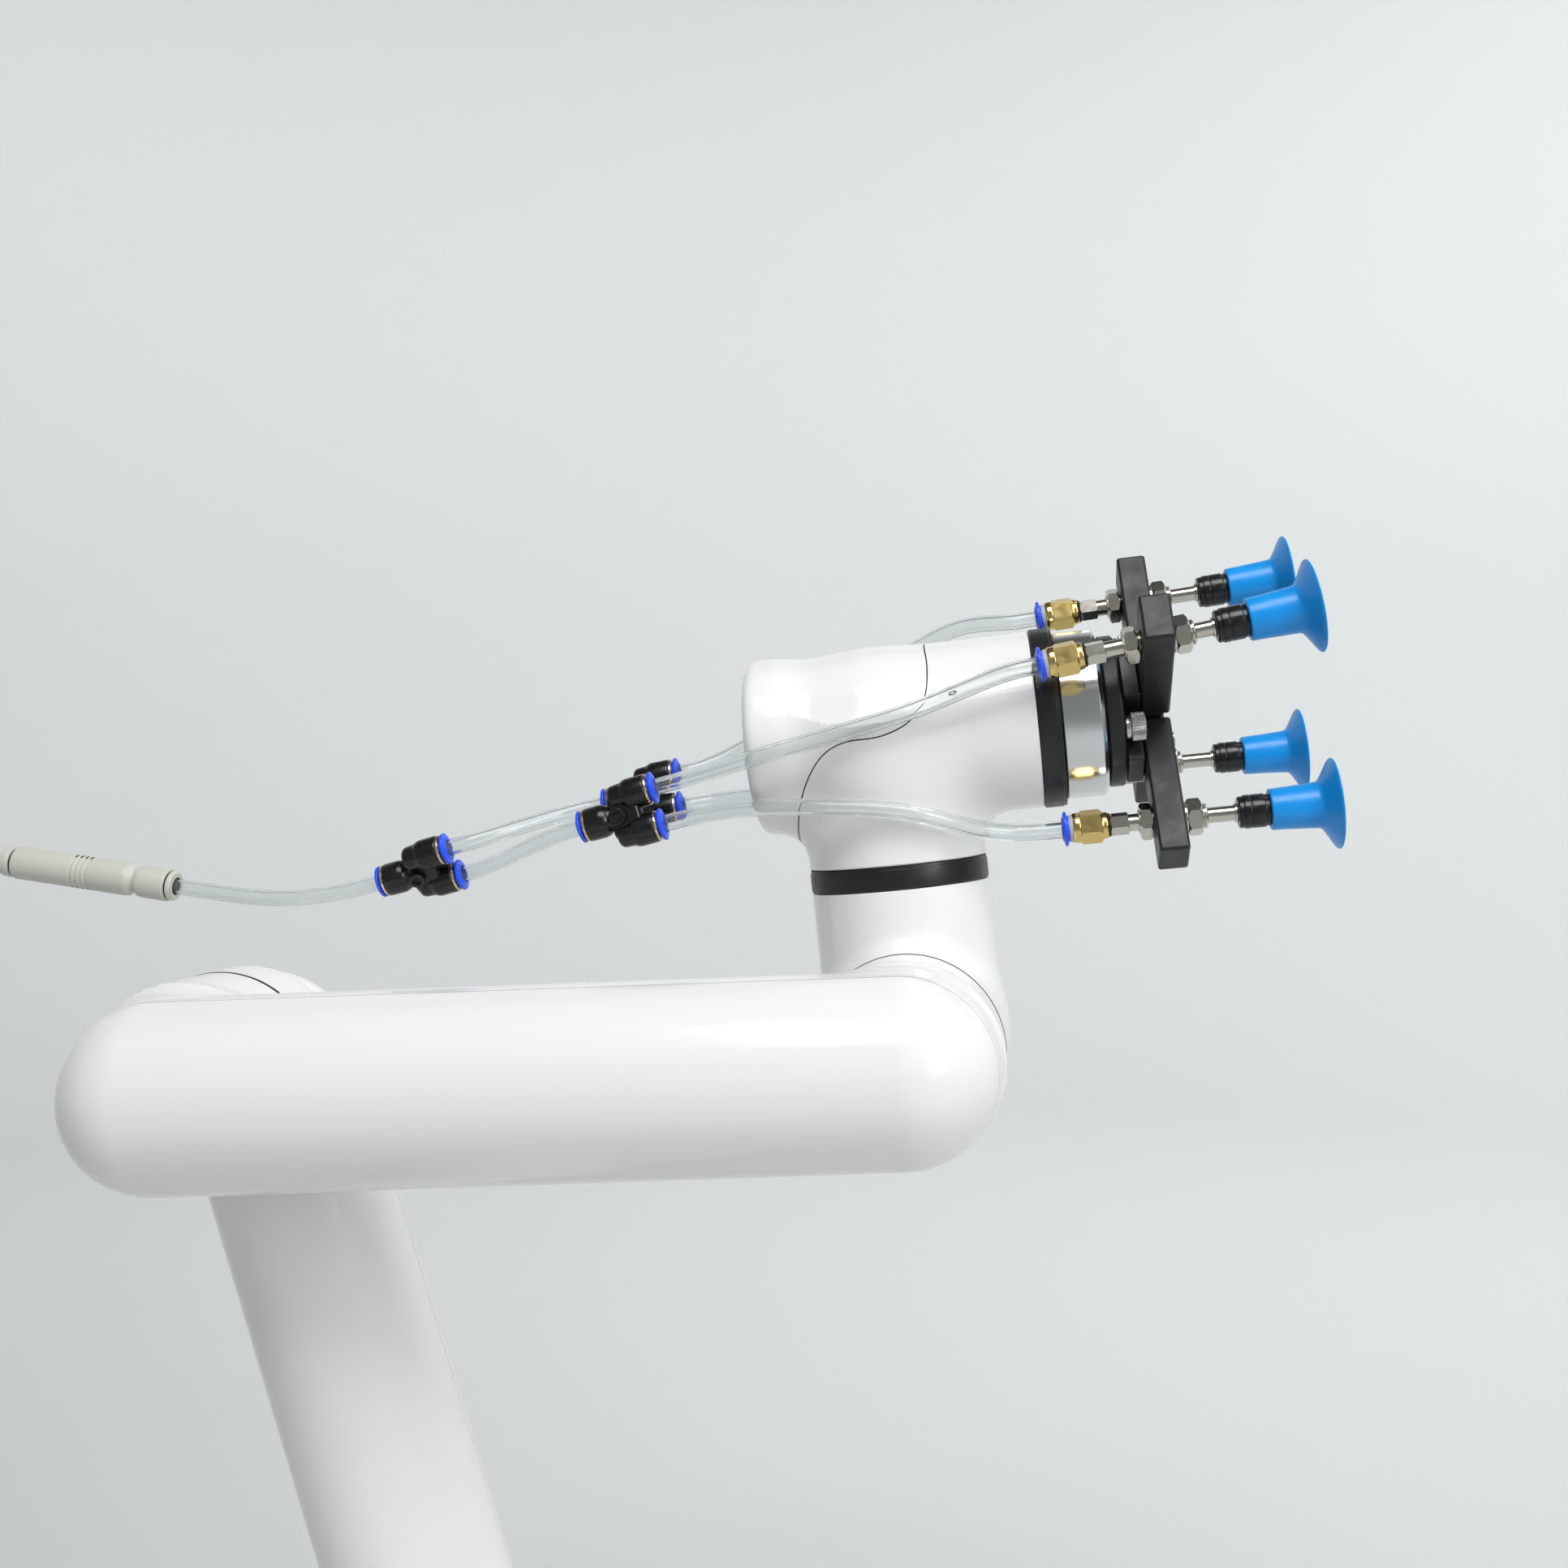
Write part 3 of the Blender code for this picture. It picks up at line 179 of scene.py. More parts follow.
def make_finishes():
    """Every finish by its key, with the record's material slot that it belongs to."""
    made = {}

    def add(key, slot, color, roughness, metallic=0.0, vary=None, grain=None, other=None,
            **sockets):
        """vary: noise size in mm, its detail and the roughness it runs between.
        grain: bump size in mm, its detail and its depth in mm.
        other: noise size in mm, its detail and a second colour."""
        finish = Finish(key, color, roughness, metallic, **sockets)
        if other:
            size, detail, tint = other
            finish.tint(finish.noise(size * MM, detail), tint)
        if vary:
            size, detail, low, high = vary
            finish.vary("Roughness", finish.noise(size * MM, detail), low, high)
        if grain:
            size, detail, depth = grain
            finish.bump(finish.noise(size * MM, detail), depth * MM)
        made[key] = (finish.material, slot)
        return finish

    add("white_gloss", "white_shell", srgb(0.95, 0.95, 0.945), 0.16, vary=(22, 3, 0.13, 0.20),
        grain=(2.5, 1, 0.003), Coat_Weight=0.35, Coat_Roughness=0.06)
    add("black_ring", "black_plastic", srgb(0.085, 0.085, 0.09), 0.38, vary=(3, 5, 0.30, 0.46),
        grain=(0.5, 3, 0.012))
    add("black_anodised", "black_anodised", srgb(0.08, 0.08, 0.085), 0.44, 0.1,
        vary=(6, 4, 0.36, 0.50), grain=(0.35, 2, 0.015),
        other=(0.35, 2, srgb(0.125, 0.125, 0.13)))
    add("black_holder", "black_plastic", srgb(0.065, 0.065, 0.07), 0.26,
        vary=(1.6, 4, 0.20, 0.32), grain=(0.6, 3, 0.004))
    # Black for real seals and screws, and also painted shade: the shells' seams, rims and boss
    # faces, the gap rings, the ejector's hollows and the splitters' eye bores.
    add("black_seal_and_painted_shade", "black_plastic", srgb(0.07, 0.07, 0.07), 0.62, grain=(0.4, 3, 0.02))
    add("black_panel", "black_plastic", srgb(0.11, 0.11, 0.115), 0.5, vary=(2, 5, 0.42, 0.58),
        grain=(0.9, 3, 0.03))
    add("nickel", "nickel", srgb(0.80, 0.78, 0.745), 0.16, 1.0, vary=(2.5, 3, 0.12, 0.19))
    add("steel_screw", "nickel", srgb(0.76, 0.76, 0.765), 0.28, 1.0, vary=(0.8, 5, 0.18, 0.40))
    add("brass", "brass", srgb(0.90, 0.80, 0.53), 0.20, 1.0, vary=(2.5, 3, 0.16, 0.25),
        other=(5, 3, srgb(0.86, 0.74, 0.46)))
    add("champagne_metal", "brass", srgb(0.86, 0.76, 0.62), 0.18, 1.0, vary=(1.2, 4, 0.12, 0.28))
    add("blue_silicone", "blue_silicone", srgb(0.03, 0.60, 0.92), 0.32, vary=(3, 2, 0.28, 0.38),
        other=(7, 3, srgb(0.02, 0.55, 0.88)), Subsurface_Weight=0.10, Subsurface_Scale=2 * MM,
        Subsurface_Radius=(0.2, 0.6, 1.0))
    add("blue_collar", "blue_silicone", srgb(0.12, 0.33, 0.95), 0.28, vary=(1.0, 4, 0.22, 0.36))
    add("pale_washer", "grey_plastic", srgb(0.72, 0.73, 0.75), 0.35, vary=(1.0, 4, 0.28, 0.42))
    add("clear_hose", "clear_hose", srgb(0.97, 0.98, 0.98), 0.05, vary=(5, 4, 0.03, 0.09),
        Transmission_Weight=0.95, IOR=1.35)
    add("ejector_grey", "grey_plastic", srgb(0.80, 0.80, 0.765), 0.36, vary=(2.5, 5, 0.30, 0.44),
        grain=(0.8, 4, 0.004))
    add("drive_metal", "drive_metal", srgb(0.30, 0.30, 0.31), 0.45, 1.0, vary=(2, 5, 0.35, 0.55),
        grain=(0.8, 4, 0.01))
    add("circuit_board", "circuit_board", srgb(0.05, 0.27, 0.13), 0.42, vary=(4, 4, 0.35, 0.5),
        grain=(2, 2, 0.03))
    lathed = add("turned_aluminium", "turned_aluminium", srgb(0.86, 0.865, 0.87), 0.20, 1.0)
    lathed.vary("Roughness", lathed.rings(0.4 * MM), 0.17, 0.22)
    steel = add("base_steel", "base_steel", srgb(0.70, 0.71, 0.72), 0.34, 1.0,
                grain=(0.8, 4, 0.01))
    steel.vary("Roughness", steel.noise(1.5 * MM, 6, stretch=(1, 1, 0.1)), 0.26, 0.44)
    return made


FINISHES = make_finishes()


def dress(obj, finish, body, *replaced):
    """Give a piece its finish and its body, and hide the CAD nodes it stands for."""
    material, slot = FINISHES[finish]
    obj.data.materials.append(material)
    # A white shell's second material is black: painted shade on its seam walls, rims and boss
    # faces.
    if finish == "white_gloss":
        obj.data.materials.append(FINISHES["black_seal_and_painted_shade"][0])
    if body is not None:
        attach(obj, body)
    if replaced:
        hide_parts(*replaced)
    return obj


# --- meshes ----------------------------------------------------------------------------------

def new_object(name, verts, faces, place, smooth_angle=32):
    mesh = bpy.data.meshes.new(name)
    mesh.from_pydata([tuple(v) for v in verts], [], [tuple(f) for f in faces])
    mesh.validate()
    work = bmesh.new()
    work.from_mesh(mesh)
    bmesh.ops.remove_doubles(work, verts=work.verts, dist=0.001 * MM)
    bmesh.ops.recalc_face_normals(work, faces=work.faces)
    work.to_mesh(mesh)
    work.free()
    mesh.shade_smooth()
    mesh.set_sharp_from_angle(angle=math.radians(smooth_angle))
    obj = bpy.data.objects.new(name, mesh)
    obj.matrix_world = place
    bpy.context.scene.collection.objects.link(obj)
    return obj


def loft(name, rings, place, closed=False, smooth_angle=32):
    """Faces between rings of equally many points; the ends are filled unless it is closed."""
    count = len(rings[0])
    verts = [p for ring in rings for p in ring]
    faces = []
    spans = len(rings) if closed else len(rings) - 1
    for i in range(spans):
        low = i * count
        high = (i + 1) % len(rings) * count
        for j in range(count):
            k = (j + 1) % count
            faces.append((low + j, low + k, high + k, high + j))
    if not closed:
        faces.append(tuple(range(count)))
        faces.append(tuple(range(len(verts) - count, len(verts))))
    return new_object(name, verts, faces, place, smooth_angle)


def softened(profile, radius, closed=False, steps=3):
    """Round the corners of an (x, r) profile."""
    points = [Vector(p) for p in profile]
    result = []
    for i, corner in enumerate(points):
        if not closed and i in (0, len(points) - 1):
            result.append(tuple(corner))
            continue
        before = points[i - 1] - corner
        after = points[(i + 1) % len(points)] - corner
        room = min(radius, 0.45 * before.length, 0.45 * after.length)
        start = corner + before.normalized() * room
        end = corner + after.normalized() * room
        for k in range(steps + 1):
            t = k / steps
            result.append(tuple(start * (1 - t) ** 2 + corner * 2 * t * (1 - t) + end * t * t))
    return result


def ring_points(x, radius, segments):
    return [(x, radius * math.cos(2 * math.pi * j / segments),
             radius * math.sin(2 * math.pi * j / segments)) for j in range(segments)]


def turned(name, profile, place, edge=0.25 * MM, segments=72, closed=False, smooth_angle=40):
    """A turned piece about the X axis of its place; profile points are (x, r) in metres."""
    points = softened(profile, edge, closed)
    rings = [ring_points(x, max(r, 0.001 * MM), segments) for x, r in points]
    return loft(name, rings, place, closed, smooth_angle)


def along_z(matrix, spot=(0, 0, 0)):
    """A frame at a point whose X runs up the given frame's Z."""
    return matrix @ Matrix.Translation(spot) @ Matrix.Rotation(-math.pi / 2, 4, "Y")


def along_minus_y(matrix, spot=(0, 0, 0)):
    return matrix @ Matrix.Translation(spot) @ Matrix.Rotation(-math.pi / 2, 4, "Z")


def in_mm(*points):
    return [tuple(c * MM for c in p) for p in points]


def band(name, low, high, bore, radius, place, edge, segments=64):
    """A plain ring about X, or a disc where its bore is 0."""
    profile = [(low, bore), (low, radius), (high, radius), (high, bore)]
    return turned(name, profile, place, edge, segments, closed=bore > 0)


def hexagon(name, low, high, corner_r, place, chamfer=0.5 * MM, turn=0.0, bore=None):
    """A hexagon bar end or nut along X, its corners turned down to a chamfer at both faces."""
    segments = 96
    face_r = corner_r * math.cos(math.pi / 6) - 0.1 * MM
    slope = chamfer / (corner_r - face_r)
    outline = []
    for j in range(segments):
        angle = 2 * math.pi * j / segments
        within = (angle + math.pi / 6) % (math.pi / 3) - math.pi / 6
        outline.append((angle + turn, corner_r * math.cos(math.pi / 6)
                        / math.cos(within - math.copysign(math.pi / 6, within))))
    rings = []
    for x, sign in ((low, 1), (high, -1)):
        face = [(x, face_r * math.cos(a), face_r * math.sin(a)) for a, _ in outline]
        rim = [(x + sign * slope * (r - face_r), r * math.cos(a), r * math.sin(a))
               for a, r in outline]
        rings += [face, rim] if sign > 0 else [rim, face]
    if bore is not None:
        rings = [[(x, bore * math.cos(a), bore * math.sin(a)) for a, _ in outline]
                 for x in (high, low)] + rings
    return loft(name, rings, place, closed=bore is not None, smooth_angle=25)


def rounded_box(name, low, high, place, bevel, segments=3):
    corners = [(x, y, z) for x in (low[0], high[0]) for y in (low[1], high[1])
               for z in (low[2], high[2])]
    faces = ((0, 1, 3, 2), (4, 6, 7, 5), (0, 4, 5, 1), (2, 3, 7, 6), (0, 2, 6, 4), (1, 5, 7, 3))
    obj = new_object(name, corners, faces, place)
    round_edges(obj, bevel, segments)
    return obj


def round_edges(obj, width, segments=3):
    edges = obj.modifiers.new("edges", "BEVEL")
    edges.width = width
    edges.segments = segments
    edges.harden_normals = True
    edges.limit_method = "ANGLE"
    edges.angle_limit = math.radians(35)


def cut_out(obj, cutter):
    """Take a cutter's shape out of a piece and throw the cutter away."""
    step = obj.modifiers.new("cut", "BOOLEAN")
    step.operation = "DIFFERENCE"
    step.solver = "EXACT"
    step.object = cutter
    with bpy.context.temp_override(object=obj, active_object=obj, selected_objects=[obj]):
        for modifier in list(obj.modifiers):
            bpy.ops.object.modifier_apply(modifier=modifier.name)
    bpy.data.objects.remove(cutter, do_unlink=True)
    return obj


def merged(name, objects):
    """Join finished meshes of one material into one piece, in the frame of the first."""
    first = objects[0]
    for obj in objects:
        for modifier in list(obj.modifiers):
            with bpy.context.temp_override(object=obj, active_object=obj):
                bpy.ops.object.modifier_apply(modifier=modifier.name)
    if len(objects) > 1:
        with bpy.context.temp_override(object=first, active_object=first,
                                       selected_objects=objects,
                                       selected_editable_objects=objects):
            bpy.ops.object.join()
    first.name = name
    return first


# --- cast shells: skins on a distance function ------------------------------------------------

def blend_union(a, b, k):
    """The union of two distances, with a fillet about as wide as k in its corner."""
    h = np.clip(0.5 + 0.5 * (b - a) / k, 0, 1)
    return b * (1 - h) + a * h - k * h * (1 - h)


def gradient(distance, points):
    step = 0.02 * MM
    result = np.zeros_like(points)
    for axis in range(3):
        offset = np.zeros(3)
        offset[axis] = step
        result[:, axis] = (distance(points + offset) - distance(points - offset)) / (2 * step)
    return result


def steepest(distance, points):
    slope = gradient(distance, points)
    return slope / np.maximum(np.linalg.norm(slope, axis=1, keepdims=True), 1e-9)


class Skin:
    """Polygons on the zero surface of a distance function, with true normals."""

    def __init__(self, distance, low, high, step):
        self.distance = distance
        self.faces = []
        # faces painted black as shade, where a seam or a joint's gap lies in shadow
        self.painted_shade = set()
        low = np.array(low)
        counts = np.ceil((np.array(high) - low) / step).astype(int) + 1
        axes = [low[i] + step * np.arange(counts[i]) for i in range(3)]
        grid = np.stack(np.meshgrid(*axes, indexing="ij"), -1).reshape(-1, 3)
        values = distance(grid).reshape(counts)
        self.verts = low + step * self.net(values)
        for _ in range(4):
            slope = gradient(distance, self.verts)
            error = distance(self.verts)[:, None]
            self.verts = self.verts - slope * error / (slope ** 2).sum(1, keepdims=True)

    def net(self, values):
        """One vertex in each cell that the surface crosses, and a face round each crossed edge."""
        inside = values < 0
        corners = [np.array((i, j, k)) for i in (0, 1) for j in (0, 1) for k in (0, 1)]
        size = np.array(values.shape) - 1

        def at(array, corner, cells):
            return array[tuple((cells + corner).T)]

        total = sum(inside[c[0]:c[0] + size[0], c[1]:c[1] + size[1],
                           c[2]:c[2] + size[2]].astype(int) for c in corners)
        mixed = (total > 0) & (total < 8)
        cells = np.argwhere(mixed)
        number = np.full(mixed.shape, -1)
        number[mixed] = np.arange(len(cells))
        place = np.zeros((len(cells), 3))
        count = np.zeros(len(cells))
        for a in corners:
            for b in corners:
                if (b - a).sum() != 1 or (b - a).min() < 0:
                    continue
                va, vb = at(values, a, cells), at(values, b, cells)
                crossed = (va < 0) != (vb < 0)
                t = va[crossed] / (va[crossed] - vb[crossed])
                place[crossed] += a + t[:, None] * (b - a)
                count[crossed] += 1
        for axis in range(3):
            b, c = (np.eye(3, dtype=int)[(axis + k) % 3] for k in (1, 2))
            edges = np.argwhere(np.diff(inside, axis=axis))
            keep = (edges[:, (axis + 1) % 3] > 0) & (edges[:, (axis + 2) % 3] > 0)
            keep &= (edges < size)[:, (axis + 1) % 3] & (edges < size)[:, (axis + 2) % 3]
            edges = edges[keep]
            quads = np.stack([number[tuple((edges - d).T)] for d in (0 * b, b, b + c, c)], 1)
            start_inside = inside[tuple(edges.T)]
            self.faces += [tuple(q if s else q[::-1]) for q, s in zip(quads, start_inside)]
        return cells + place / count[:, None]

    def clip(self, side):
        """Keep the part where side(points) < 0.  Returns the new border's edges."""
        values = side(self.verts)
        verts = list(map(tuple, self.verts))
        made = {}
        border = []
        faces = []
        for face in self.faces:
            signs = [values[i] < 0 for i in face]
            if all(signs):
                faces.append(face)
                continue
            if not any(signs):
                continue
            kept = []
            fresh = []
            for i, j in zip(face, face[1:] + face[:1]):
                if values[i] < 0:
                    kept.append(i)
                if (values[i] < 0) != (values[j] < 0):
                    key = (min(i, j), max(i, j))
                    if key not in made:
                        a, b = key
                        t = values[a] / (values[a] - values[b])
                        made[key] = len(verts)
                        verts.append(tuple(self.verts[a] * (1 - t) + self.verts[b] * t))
                    kept.append(made[key])
                    fresh.append(made[key])
            if len(kept) > 2:
                faces.append(tuple(kept))
            if len(fresh) == 2:
                border.append(tuple(fresh))
        self.verts = np.array(verts)
        self.faces = faces
        slope = steepest(self.distance, self.verts)
        fresh = sorted(set(i for edge in border for i in edge))
        for _ in range(3):
            error = self.distance(self.verts[fresh])[:, None]
            self.verts[fresh] -= slope[fresh] * error
        return border

    def skirt(self, border, move, painted_shade=False):
        """Add a ring of faces from a border to its moved copy; returns the copy's edges."""
        old = sorted(set(i for edge in border for i in edge))
        points = self.verts[old]
        moved = move(points, steepest(self.distance, points))
        twin = {i: len(self.verts) + k for k, i in enumerate(old)}
        self.verts = np.vstack([self.verts, moved])
        for i, j in border:
            self.faces.append((j, i, twin[i], twin[j]))
            # these faces get the black second material: painted shade
            if painted_shade:
                self.painted_shade.add(frozenset((j, i, twin[i], twin[j])))
        return [(twin[i], twin[j]) for i, j in border]

    def build(self, name, place):
        mesh = bpy.data.meshes.new(name)
        used = sorted(set(i for f in self.faces for i in f))
        renumber = {i: k for k, i in enumerate(used)}
        verts = self.verts[used]
        mesh.from_pydata(verts.tolist(), [], [[renumber[i] for i in f] for f in self.faces])
        # material 1, the black one, on the faces painted as shade
        mesh.polygons.foreach_set("material_index",
                                  [int(frozenset(f) in self.painted_shade) for f in self.faces])
        work = bmesh.new()
        work.from_mesh(mesh)
        bmesh.ops.recalc_face_normals(work, faces=work.faces)
        work.to_mesh(mesh)
        work.free()
        mesh.shade_smooth()
        mesh.set_sharp_from_angle(angle=math.radians(30))
        co = np.array([v.co for v in mesh.vertices])
        slope = steepest(self.distance, co)
        on_skin = np.abs(self.distance(co)) < 0.02 * MM
        corner_normals = np.array([n.vector for n in mesh.corner_normals])
        loop_vert = np.array([loop.vertex_index for loop in mesh.loops])
        normals = corner_normals.copy()
        for polygon in mesh.polygons:
            loops = list(polygon.loop_indices)
            ids = loop_vert[loops]
            if on_skin[ids].all() and (slope[ids] @ np.array(polygon.normal)).min() > 0.8:
                normals[loops] = slope[ids]
        mesh.normals_split_custom_set(normals.tolist())
        obj = bpy.data.objects.new(name, mesh)
        obj.matrix_world = place
        bpy.context.scene.collection.objects.link(obj)
        return obj


def capsule(points, length, r_low, r_high, axis):
    """Distance to a round-ended tube from the origin along an axis."""
    along = np.clip(points[:, axis] / length, 0, 1)
    offset = points.copy()
    offset[:, axis] -= along * length
    return np.linalg.norm(offset, axis=1) - (r_low + (r_high - r_low) * along)


def boss(points, centre, radius, root_r, depth, sign):
    """Distance to a boss along +Y or -Y that widens from the tube's end."""
    offset = points - np.array(centre)
    out = sign * offset[:, 1]
    rho = np.hypot(offset[:, 0], offset[:, 2])
    slope = (radius - root_r) / depth
    side = rho - np.minimum(radius, root_r + slope * out)
    return np.maximum(side, -out - 6 * MM)


# --- camera, light and floor ------------------------------------------------------------------

CAMERA_AT = (0.2084, -0.4729, 0.5642)
CAMERA_FORWARD = (-0.1378, 0.9905, -0.0040)
CAMERA_RIGHT = (0.9904, 0.1378, -0.0059)
CAMERA_LENS = 36.59
FLOOR_REACH = 3.2
FLOOR_SWEEP = 1.0
WALL_HEIGHT = 4.0


def make_camera():
    data = bpy.data.cameras.new("camera")
    data.lens = CAMERA_LENS
    data.sensor_width = 36
    data.clip_start = 0.01
    camera = bpy.data.objects.new("camera", data)
    forward = Vector(CAMERA_FORWARD).normalized()
    right = Vector(CAMERA_RIGHT).normalized()
    camera.matrix_world = Matrix((right, right.cross(forward), -forward)).transposed().to_4x4()
    camera.location = CAMERA_AT
    bpy.context.scene.collection.objects.link(camera)
    bpy.context.scene.camera = camera


def area_light(name, place, target, size, power):
    data = bpy.data.lights.new(name, "AREA")
    data.shape = "RECTANGLE"
    data.size, data.size_y = size
    data.energy = power
    light = bpy.data.objects.new(name, data)
    light.location = place
    aim = Vector(target) - Vector(place)
    light.rotation_euler = aim.to_track_quat("-Z", "Y").to_euler()
    light.visible_camera = False
    bpy.context.scene.collection.objects.link(light)


def make_lights():
    centre = (0.12, 0.08, 0.5)
    area_light("top_box", (0.4, -1.0, 2.2), centre, (1.4, 1.0), 30)
    area_light("right_box", (1.1, -0.8, 1.0), (0.22, 0.02, 0.6), (0.5, 0.7), 7)
    area_light("wall_wash_right", (1.4, 0.6, 2.2), (1.0, 3.2, 1.4), (1.8, 1.0), 52)
    area_light("wall_wash_left", (-1.0, 0.8, 2.2), (-1.2, 3.2, 1.4), (1.8, 1.0), 19)
    world = bpy.data.worlds.new("studio")
    world.use_nodes = True
    sky = world.node_tree.nodes["Background"]
    sky.inputs["Color"].default_value = (0.93, 0.95, 0.97, 1)
    sky.inputs["Strength"].default_value = 0.12
    bpy.context.scene.world = world
    bpy.context.scene.view_settings.view_transform = "Standard"


def make_backdrop():
    """A round pale floor that sweeps up into a wall far behind the arm, all round."""
    flat = FLOOR_REACH - FLOOR_SWEEP
    profile = [(0.001, 0.0), (flat, 0.0)]
    steps = 12
    for i in range(1, steps + 1):
        angle = math.pi / 2 * i / steps
        profile.append((flat + FLOOR_SWEEP * math.sin(angle),
                        FLOOR_SWEEP - FLOOR_SWEEP * math.cos(angle)))
    profile.append((FLOOR_REACH, WALL_HEIGHT))
    segments = 96
    verts = [(r * math.cos(2 * math.pi * j / segments), r * math.sin(2 * math.pi * j / segments),
              z) for r, z in profile for j in range(segments)]
    faces = [(i * segments + j, i * segments + (j + 1) % segments,
              (i + 1) * segments + (j + 1) % segments, (i + 1) * segments + j)
             for i in range(len(profile) - 1) for j in range(segments)]
    faces.append(tuple(range(segments)))
    floor = new_object("floor", verts, faces, Matrix.Translation((0.1, 0.1, -0.0005)), 60)
    paper = Finish("backdrop_paper", srgb(0.83, 0.84, 0.84), 0.85)
    paper.bump(paper.noise(3 * MM, 3), 0.02 * MM)
    floor.data.materials.append(paper.material)


# --- arm --------------------------------------------------------------------------------------

TUBE_R = 33.3 * MM
FOREARM_WRIST_R = 31.4 * MM
ELBOW_R = 36.9 * MM
WRIST_BOSS_R = 32.9 * MM
SHOULDER_BOSS_R = 42 * MM
UPPER_FACE = 33.1 * MM
FOREARM_ELBOW_FACE = 41.3 * MM
FOREARM_WRIST_FACE = 36.4 * MM
WRIST_1_FACE = 41.0 * MM
SHELL_STEP = 1.5 * MM
CHAMFER = 0.7 * MM
RIM_CHAMFER = 0.4 * MM
RIM_WIDTH = 4 * MM
BOSS_DEPTH = 12 * MM      # over which a boss widens
BOSS_ROOT = 7 * MM        # how far inside the tube's radius it starts
FILLET = 7 * MM
UPPER_ARM_SEAM = 6.5 * MM
FOREARM_SEAM = -6.5 * MM


def lip(skin, border, depth=2.6 * MM):
    """A seam's edge: a small round-over, then the shell's wall, painted black as the shade in the
    seam.
    """
    border = skin.skirt(border, lambda points, slope: points - slope * 0.25 * MM)
    skin.skirt(border, lambda points, slope: points - slope * depth, painted_shade=True)


def level(axis, height, shrink=0.0, radius=None, centre=(0, 0, 0)):
    """A skirt's move to a height along an axis: in by shrink, or to a radius."""
    centre = np.array(centre)

    def move(points, slope):
        flat = points - centre
        flat[:, axis] = 0
        rho = np.linalg.norm(flat, axis=1, keepdims=True)
        moved = centre + flat / rho * (radius or rho - shrink)
        moved[:, axis] = height
        return moved
    return move


def rim(skin, border, axis, height):
    """Close a round end with a small chamfer and a flat rim, the rim painted black as the shade
    where the next part meets it.
    """
    border = skin.skirt(border, level(axis, height, RIM_CHAMFER))
    skin.skirt(border, level(axis, height, RIM_WIDTH), painted_shade=True)


def boss_face(skin, border, centre, face, bore, sign):
    """Close a boss: chamfer up to its face, flat face in to the bore, and the bore's wall; all but
    the chamfer's outer part painted black as the shade in the joint's gap.
    """
    def ring(height, **size):
        return level(1, sign * height, centre=centre, **size)

    border = skin.skirt(border, ring(face - CHAMFER * 0.8, shrink=CHAMFER * 0.1))
    border = skin.skirt(border, ring(face, shrink=CHAMFER * 0.9), painted_shade=True)
    border = skin.skirt(border, ring(face, radius=bore), painted_shade=True)
    skin.skirt(border, ring(face - 20 * MM, radius=bore), painted_shade=True)


def half_shell(distance, low, high, seam, side):
    """The shell on one side of a lengthwise seam: side is 1 towards +Y, -1 towards -Y."""
    skin = Skin(distance, low, high, SHELL_STEP)
    lip(skin, skin.clip(lambda p: side * (seam - p[:, 1]) + SEAM / 2))
    return skin


def cast(skin, name, place, body, replaced):
    dress(skin.build(name, place), "white_gloss", body, replaced)


def make_upper_arm():
    top = (0, 0, UPPER_ARM_LENGTH)

    def distance(p):
        tube = capsule(p, UPPER_ARM_LENGTH, TUBE_R, TUBE_R, 2)
        lower = boss(p, (0, 0, 0), SHOULDER_BOSS_R, TUBE_R - BOSS_ROOT, BOSS_DEPTH, -1)
        upper = boss(p, top, ELBOW_R, TUBE_R - BOSS_ROOT, BOSS_DEPTH, -1)
        return blend_union(tube, np.minimum(lower, upper), FILLET)

    reach = 46 * MM
    low = (-reach, -UPPER_FACE - 6 * MM, -reach)
    high = (reach, 36 * MM, UPPER_ARM_LENGTH + 42 * MM)
    front = half_shell(distance, low, high, UPPER_ARM_SEAM, -1)
    near = SHOULDER_BOSS_R + 3 * MM
    for centre, bore in (((0, 0, 0), 27 * MM), (top, 29 * MM)):
        border = front.clip(lambda p: np.where(
            np.hypot(p[:, 0], p[:, 2] - centre[2]) < near,
            -p[:, 1] - (UPPER_FACE - CHAMFER), -1.0))
        boss_face(front, border, centre, UPPER_FACE, bore, -1)
    rear = half_shell(distance, low, high, UPPER_ARM_SEAM, 1)
    cast(front, "upper_arm_front", UPPER_ARM, "upper_arm", "upper_arm_front_shell")
    cast(rear, "upper_arm_rear", UPPER_ARM, "upper_arm", "upper_arm_rear_shell")


def make_forearm():
    far = (FOREARM_LENGTH, 0, 0)

    def distance(p):
        tube = capsule(p, FOREARM_LENGTH, TUBE_R, FOREARM_WRIST_R, 0)
        elbow = boss(p, (0, 0, 0), ELBOW_R, TUBE_R - BOSS_ROOT, BOSS_DEPTH, 1)
        wrist = boss(p, far, WRIST_BOSS_R, FOREARM_WRIST_R - BOSS_ROOT, BOSS_DEPTH, 1)
        return blend_union(tube, np.minimum(elbow, wrist), FILLET)

    low = (-40 * MM, -36 * MM, -40 * MM)
    high = (FOREARM_LENGTH + 40 * MM, FOREARM_ELBOW_FACE + 6 * MM, 40 * MM)
    front = half_shell(distance, low, high, FOREARM_SEAM, -1)
    rear = half_shell(distance, low, high, FOREARM_SEAM, 1)
    ends = (((0, 0, 0), FOREARM_ELBOW_FACE, 22 * MM, 1), (far, FOREARM_WRIST_FACE, 27.4 * MM, -1))
    for centre, face, bore, side in ends:
        border = rear.clip(lambda p: np.where(side * (FOREARM_LENGTH / 2 - p[:, 0]) > 0,
                                              p[:, 1] - (face - CHAMFER), -1.0))
        boss_face(rear, border, centre, face, bore, 1)
    cast(front, "forearm_front", FOREARM, "forearm", "forearm_front_shell")
    cast(rear, "forearm_rear", FOREARM, "forearm", "forearm_rear_shell")


# --- wrist ------------------------------------------------------------------------------------

